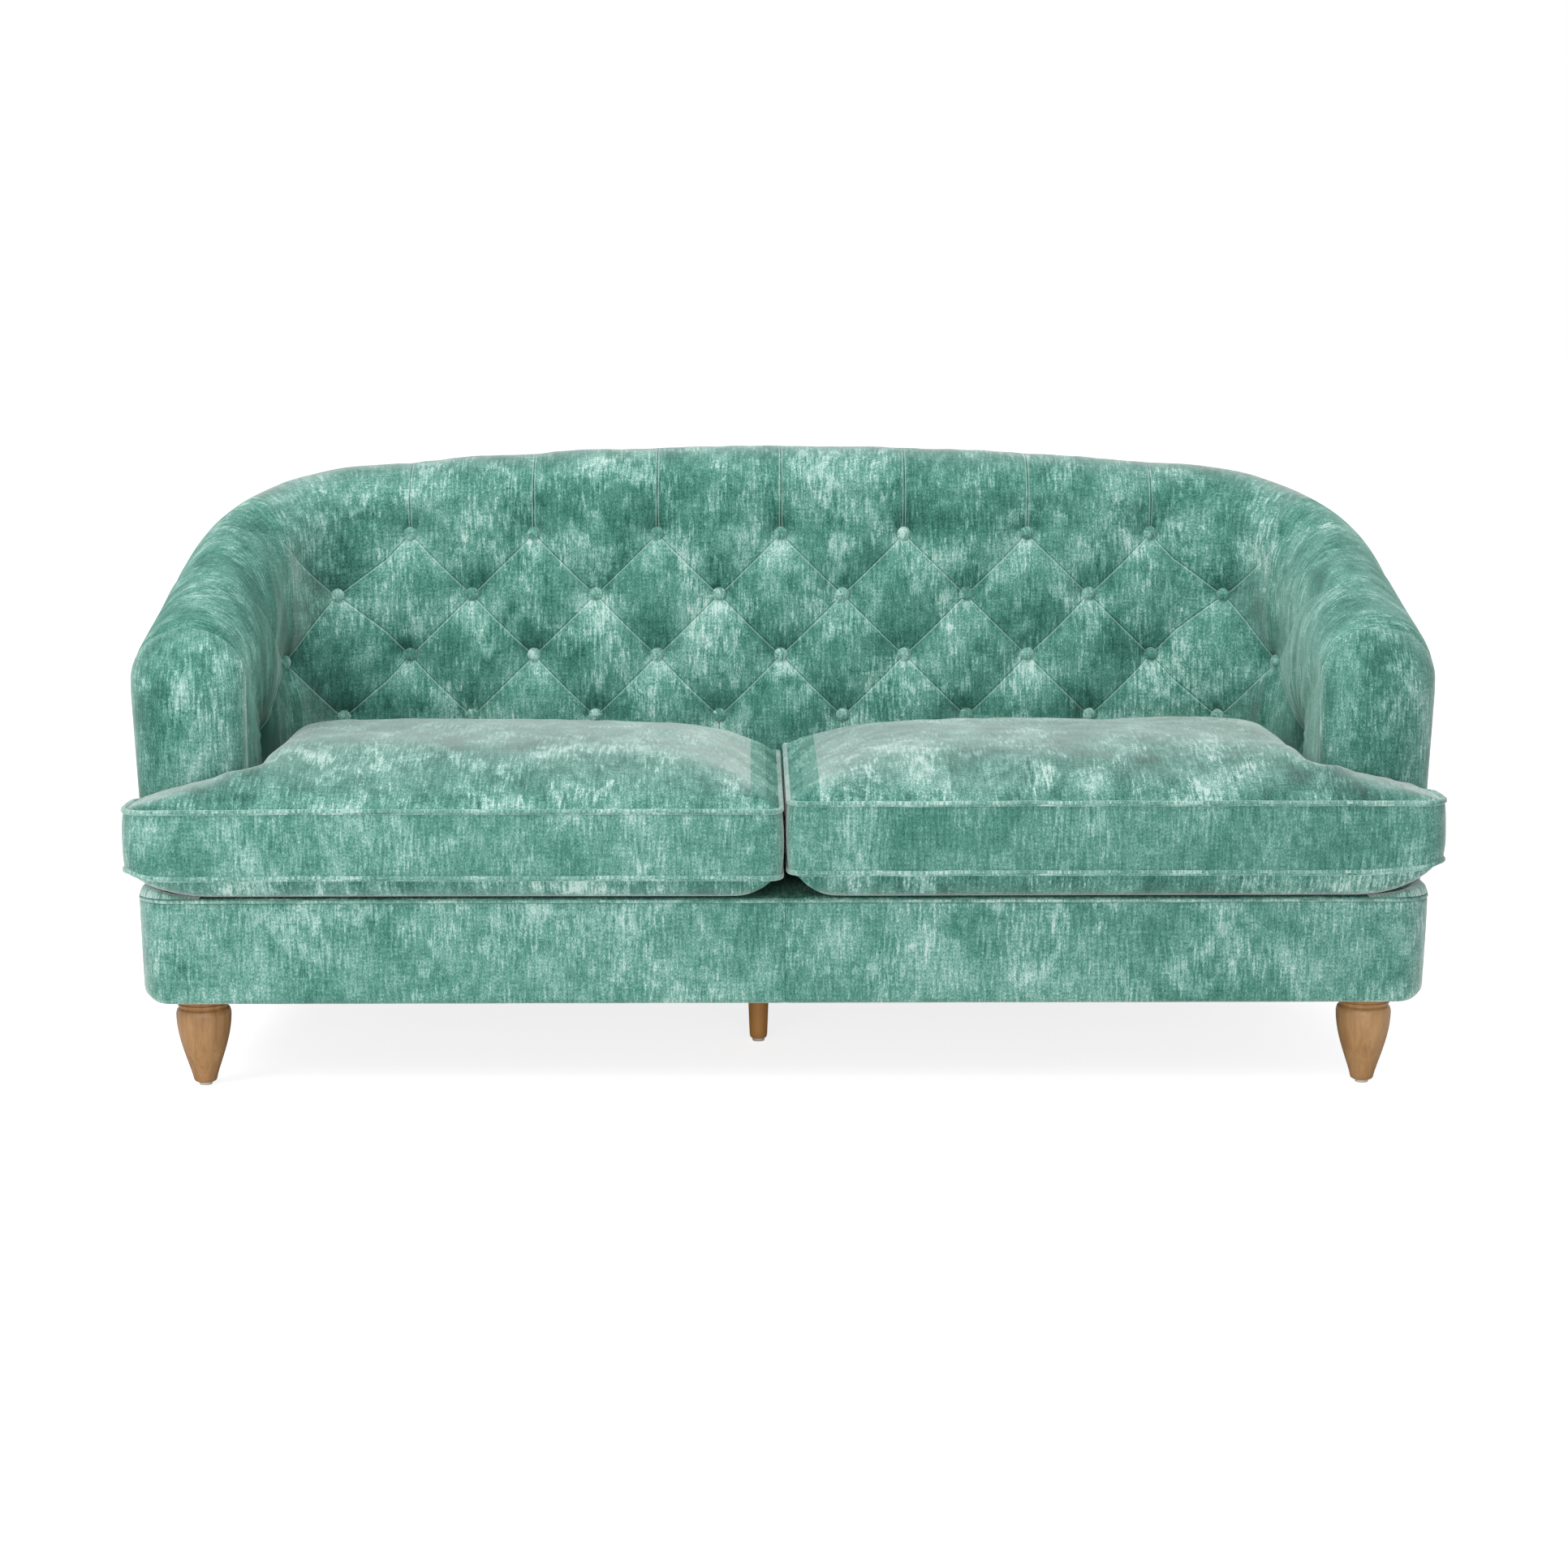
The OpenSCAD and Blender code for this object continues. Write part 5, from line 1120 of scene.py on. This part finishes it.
def deck_rolls():
    starts = np.linspace(ROLL_START, BASE_CORNER_R, 12)
    a = quarter(16)[1:]
    back = np.linspace(CORNER_FRONT, FRONT_Y + EAR_D - ROLL_EDGE, 8)[1:]
    # Plan line of the edge, with the angle that it has turned
    x, y, angle = np.concatenate([
        cloth_at(BASE_HALF - starts, BASE_Y),
        np.stack([CORNER_X + BASE_CORNER_R * np.sin(a), CORNER_FRONT - BASE_CORNER_R * np.cos(a), a], 1),
        np.stack([0 * back + BASE_HALF, back, 0 * back + math.pi / 2], 1)]).T[..., None]
    along = lengths(np.hstack([x, y]))[:, None]
    u = np.linspace(0, 1, 22)
    outline = np.interp(u, ROLL_ACROSS, ROLL_OUTLINE)
    for _ in range(2):
        outline[1:-1] = (outline[:-2] + 2 * outline[1:-1] + outline[2:]) / 4
    inward = ROLL_EDGE + u * ROLL_W
    z = DECK_Z + GAP + np.interp(along, ROLL_MARKS, ROLL_HEIGHTS) * outline
    points = np.stack([x - np.sin(angle) * inward, y + np.cos(angle) * inward, z], -1).reshape(-1, 3)
    faces, cloth = grid_faces(*z.shape), cloth_at(along, inward + 6.2)
    both = joined([(*on_side(side, points, faces), cloth) for side in ("right", "left")])
    return wear(make_piece("deck_end_rolls", velvet_piping, *both), "frame", "velvet", "deck_rolls")


deck_rolls()


# ---- Legs and glides ----
def lathe(name, profile, at, material, sides=96):
    """A turned form: radius and height of each ring, from the bottom up."""
    r, z = np.array(profile).T
    a = np.arange(sides)[:, None] * 2 * math.pi / sides
    points = np.stack(np.broadcast_arrays(at[0] + np.cos(a) * r, at[1] + np.sin(a) * r, z), -1)
    n, m = points.shape[:2]
    ring = np.arange(n) * m
    after = np.roll(ring, -1)
    faces = np.concatenate([grid_faces(n, m, closed=True), np.stack([np.full(n, n * m), after, ring], 1),
                            np.stack([np.full(n, n * m + 1), ring + m - 1, after + m - 1], 1)])
    points = np.concatenate([points.reshape(-1, 3), [[*at, z[0]], [*at, z[-1]]]])
    return make_piece(name, material, points, faces)


def rounded_profile(points, passes=2):
    """Cuts each corner of a profile, to round it."""
    p = np.array(points, float)
    for _ in range(passes):
        a, b = p[:-1] * 0.75 + p[1:] * 0.25, p[:-1] * 0.25 + p[1:] * 0.75
        p = np.concatenate([p[:1], np.stack([a, b], 1).reshape(-1, 2), p[-1:]])
    return p


def centre_of(node):
    low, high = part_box(node)
    return (low.x + high.x) / 2, (low.y + high.y) / 2


FOOT_R, FOOT_Z, BULB_Z = 0.0175, GLIDE_H + 0.007, FRAME_Z - 0.025
BULB = [(mix(FOOT_R, LEG_R + 0.0005, math.sin(math.pi / 2 * u) ** 1.15), mix(FOOT_Z, BULB_Z, u))
        for u in np.linspace(0, 1, 26)]
# The turned collar: depth under the leg's radius, and distance under the frame
COLLAR = [(0.0004, 0.0225), (0.0010, 0.0197), (0.0036, 0.0170), (0.0043, 0.0156), (0.0040, 0.0147),
          (0.0024, 0.0138), (0.0018, 0.0126), (0.0024, 0.0113), (0.0040, 0.0104), (0.0043, 0.0094),
          (0.0036, 0.0084), (0.0012, 0.0074), (0.0003, 0.0062), (0, 0.0045), (0, 0)]
FOOT_ROUND = [(FOOT_R - 0.0045, GLIDE_H + 0.0002), (FOOT_R - 0.0012, GLIDE_H + 0.0022)]
TURNED_LEG = rounded_profile(FOOT_ROUND + BULB + [(LEG_R - r, FRAME_Z - z) for r, z in COLLAR], 1)
PLAIN_LEG = rounded_profile([(0.0095, GLIDE_H), (0.0115, GLIDE_H + 0.0004), (0.0133, GLIDE_H + 0.0030),
                             (0.0140, GLIDE_H + 0.012), (0.0160, 0.075), (PLAIN_LEG_R, FRAME_Z)])
GLIDE = [(0.0072, 0.0), (GLIDE_R - 0.0008, 0.0004), (GLIDE_R, 0.0016), (GLIDE_R, GLIDE_H - 0.0008),
         (GLIDE_R - 0.0006, GLIDE_H)]

LEGS = ("front_leg_left", "front_leg_right", "rear_leg_left", "rear_leg_right", "centre_leg")
for node in LEGS:
    if node.startswith("front"):
        leg = lathe(node.replace("front", "turned"), TURNED_LEG, centre_of(node), leg_wood)
    else:
        leg = lathe("plain_" + node, PLAIN_LEG, centre_of(node), plain_leg_wood, 64)
    wear(leg, "frame", "turned_wood", node)
for node in LEGS:
    glide = lathe("glide_under_" + node, GLIDE, centre_of(node), nylon_look, 40)
    wear(glide, "frame", "glide_plastic", "leg_glides")


# ---- Cloth sheets: the deck under the cushions and the dust cover ----
def cloth_sheet(name, material, rows, z_at, thickness):
    """A sheet of cloth over rows of (y, half width), with its height from a function, and its area."""
    y, half = np.array(rows, float).T
    area = float(np.sum(np.diff(y) * (half[:-1] + half[1:])))
    x = np.linspace(-1, 1, 121)[:, None] * half
    y = np.broadcast_to(y, x.shape)
    upper = np.stack([x, y, z_at(x, y)], -1).reshape(-1, 3)
    index = np.arange(x.size).reshape(x.shape)
    ring = np.concatenate([index[:, 0], index[-1, 1:], index[-2::-1, -1], index[0, -2:0:-1]])
    walls, _ = ring_walls([ring, ring + x.size], flip=True)
    faces = np.concatenate([grid_faces(*x.shape), grid_faces(*x.shape, flip=True) + x.size, walls])
    points = np.concatenate([upper, upper - [0, 0, thickness]])
    return make_piece(name, material, points, faces, cloth_at(points[:, 0], points[:, 1] + 9)), area


def base_half_at(y, inset):
    """Half width of the base front's plan at a depth y."""
    r = BASE_CORNER_R - inset
    dy = np.clip(CORNER_FRONT - y, 0, r)
    return CORNER_X + np.sqrt(np.maximum(r * r - dy * dy, 0))


def front_rows(first_y, r, from_angle, count, half_at):
    """Rows from the front edge round the corner and back to the arms' ends."""
    round_corner = first_y + r * (1 - np.cos(np.linspace(from_angle, math.pi / 2, count)))
    behind = np.linspace(CORNER_FRONT + 0.004, ARM_END_Y - 0.001, 16)
    return [(y, float(half_at(y))) for y in (*round_corner, *behind)]


EDGE = 0.0004
DECK_HALF = SEAT_HALF + 0.058
DECK_TAPER = 0.138
DECK_TAPER_Y = CORNER_Y + 0.05
deck_low, deck_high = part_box("deck_cover")
deck_rows = front_rows(deck_low.y + EDGE, BASE_CORNER_R, 0.12, 14, lambda y: base_half_at(y, 0.0008))
deck_rows += [(y, DECK_HALF) for y in np.linspace(ARM_END_Y, DECK_TAPER_Y, 40)]
deck_rows += [(y, DECK_HALF - DECK_TAPER * (y - DECK_TAPER_Y) / (deck_high.y - DECK_TAPER_Y))
              for y in np.linspace(DECK_TAPER_Y + 0.006, deck_high.y - EDGE, 30)]


def deck_height(x, y):
    return DECK_Z - 0.00005 - 0.0003 * (1 + ripple(x, y, 0.22, 51)) * 0.5


deck, deck_area = cloth_sheet("deck_cloth", velvet_deck, deck_rows, deck_height, 0.0008)
wear(deck, "frame", "velvet", "deck_cover")

DUST_INSET = 0.0116
DUST_GAP = 0.0058
CORNER_LEAN = 0.0150
BAY_W, BAY_SAG = 0.9, 0.0022
dust_low, dust_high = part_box("dust_cover")


def dust_half_at(y):
    """Half width of the dust cloth, which follows the leaning corner of the base border."""
    before = (CORNER_FRONT - y) / BASE_CORNER_R
    angle = math.acos(before) if before > 0 else math.pi / 2 - before
    return base_half_at(y, DUST_INSET + CORNER_LEAN * corner_bend(angle))


dust_rows = front_rows(dust_low.y + EDGE, BASE_CORNER_R - DUST_INSET, 0.15, 12, dust_half_at)
turns = np.linspace(S_FRONT - ARM_FRONT_R, S_CORNER + 0.0001, 70)
for x, y, _ in place(turns, q_out(turns, LEG_H) - DUST_GAP, LEG_H + 0 * turns):
    if dust_rows[-1][0] + 0.002 < y < dust_high.y - 0.0006:
        dust_rows.append((float(y), float(x)))


def dust_height(x, y):
    """The cloth sags a little between the rails."""
    depth = (y - dust_low.y) / (dust_high.y - dust_low.y)
    bays = np.abs(np.sin(math.pi * x / BAY_W)) * np.abs(np.sin(math.pi * depth))
    return LEG_H + 0.0009 - BAY_SAG * bays + 0.0003 * ripple(x, y, 0.09, 53)


dust, dust_area = cloth_sheet("dust_cloth", dust_look, dust_rows, dust_height, 0.0006)
wear(dust, "frame", "dust_cloth", "dust_cover")

# ---- Finishes of the CAD nodes that stay ----
LOOKS = {"frame_wood": frame_wood, "foam": foam_look, "steel": steel_look, "zip_metal": zip_look,
         "zip_tape": tape_look, "glide_plastic": nylon_look, "webbing": web_look, "hessian": hessian_look,
         "twine": twine_look, "velvet": velvet_plain, "turned_wood": leg_wood, "dust_cloth": dust_look}
for part in frame["record"]["subparts"]:
    obj = frame["nodes"][part["node"]]
    obj.data.materials.clear()
    obj.data.materials.append(LOOKS[part["material_slot"]])
for node in ("zip_slider_left", "zip_slider_right"):
    bevel = frame["nodes"][node].modifiers.new("rounded", "BEVEL")
    bevel.width = 0.0005
    bevel.segments = 3


# ---- Floor, world, lights and camera ----
def put(name, data):
    thing = bpy.data.objects.new(name, data)
    bpy.context.scene.collection.objects.link(thing)
    return thing


def backdrop(name, colour, seen):
    """A diffuse floor that shows white to the camera, and still takes the sofa's shadow."""
    g = graph(name)
    material = g.finish(Base_Color=(*colour, 1), Roughness=0.95)
    matt = g.shader.outputs[0]
    glow = g.add("ShaderNodeEmission", Color=(1, 1, 1, 1), Strength=seen).outputs[0]
    both = g.add("ShaderNodeAddShader", i0=matt, i1=glow).outputs[0]
    to_camera = g.add("ShaderNodeLightPath").outputs["Is Camera Ray"]
    chosen = g.add("ShaderNodeMixShader", i0=to_camera, i1=matt, i2=both).outputs[0]
    g.join(chosen, g.tree.nodes["Material Output"].inputs["Surface"])
    return material


floor_mesh = bpy.data.meshes.new("floor")
floor_mesh.from_pydata([(-30, -20, 0), (30, -20, 0), (30, 60, 0), (-30, 60, 0)], [], [(0, 1, 2, 3)])
floor_mesh.materials.append(backdrop("pale_floor", (0.86, 0.86, 0.86), 0.80))
put("floor", floor_mesh)

# White to the camera, in reflections and through glass, and dimmer as a light
world = bpy.data.worlds.new("studio")
bpy.context.scene.world = world
sky = Graph(world)
sky.tree.nodes.clear()
rays = sky.add("ShaderNodeLightPath").outputs
seen_ray = sky.math("MAXIMUM", rays["Is Camera Ray"], rays["Is Glossy Ray"])
seen_ray = sky.math("MAXIMUM", seen_ray, rays["Is Transmission Ray"])
lit = sky.add("ShaderNodeBackground", Color=(0.96, 0.98, 1.0, 1), Strength=0.40).outputs[0]
seen = sky.add("ShaderNodeBackground", Color=(1, 1, 1, 1), Strength=1.0).outputs[0]
sky.add("ShaderNodeOutputWorld", i0=sky.add("ShaderNodeMixShader", i0=seen_ray, i1=lit, i2=seen).outputs[0])


def softbox(name, at, toward, size, power):
    light = bpy.data.lights.new(name, "AREA")
    light.shape = "RECTANGLE"
    light.size, light.size_y = size
    light.energy = power
    lamp = put(name, light)
    lamp.location = at
    lamp.rotation_euler = (Vector(toward) - Vector(at)).to_track_quat("-Z", "Y").to_euler()


softbox("key", (-3.0, -2.4, 2.9), (0.2, 0, 0.5), (2.2, 1.8), 60)
softbox("top", (0.2, -0.5, 3.6), (0, -0.1, 0.4), (3.2, 1.6), 54)
softbox("low", (-0.4, -4.6, 0.9), (0, 0, 0.35), (3.6, 1.2), 58)

# The camera's place and lens were worked out from the photograph's perspective
CAMERA_DISTANCE = 4.461
CAMERA_HEIGHT = 1.124
CAMERA_X = -0.045
CAMERA_DOWN = 8.479
CAMERA_YAW = -0.554
camera_data = bpy.data.cameras.new("camera")
camera_data.lens = 73.07
camera_data.sensor_width = 36.0
camera = put("camera", camera_data)
camera.location = (CAMERA_X, FRONT_Y - CAMERA_DISTANCE, CAMERA_HEIGHT)
camera.rotation_euler = (math.radians(90 - CAMERA_DOWN), 0, math.radians(CAMERA_YAW))
bpy.context.scene.camera = camera
bpy.context.scene.view_settings.view_transform = "Standard"
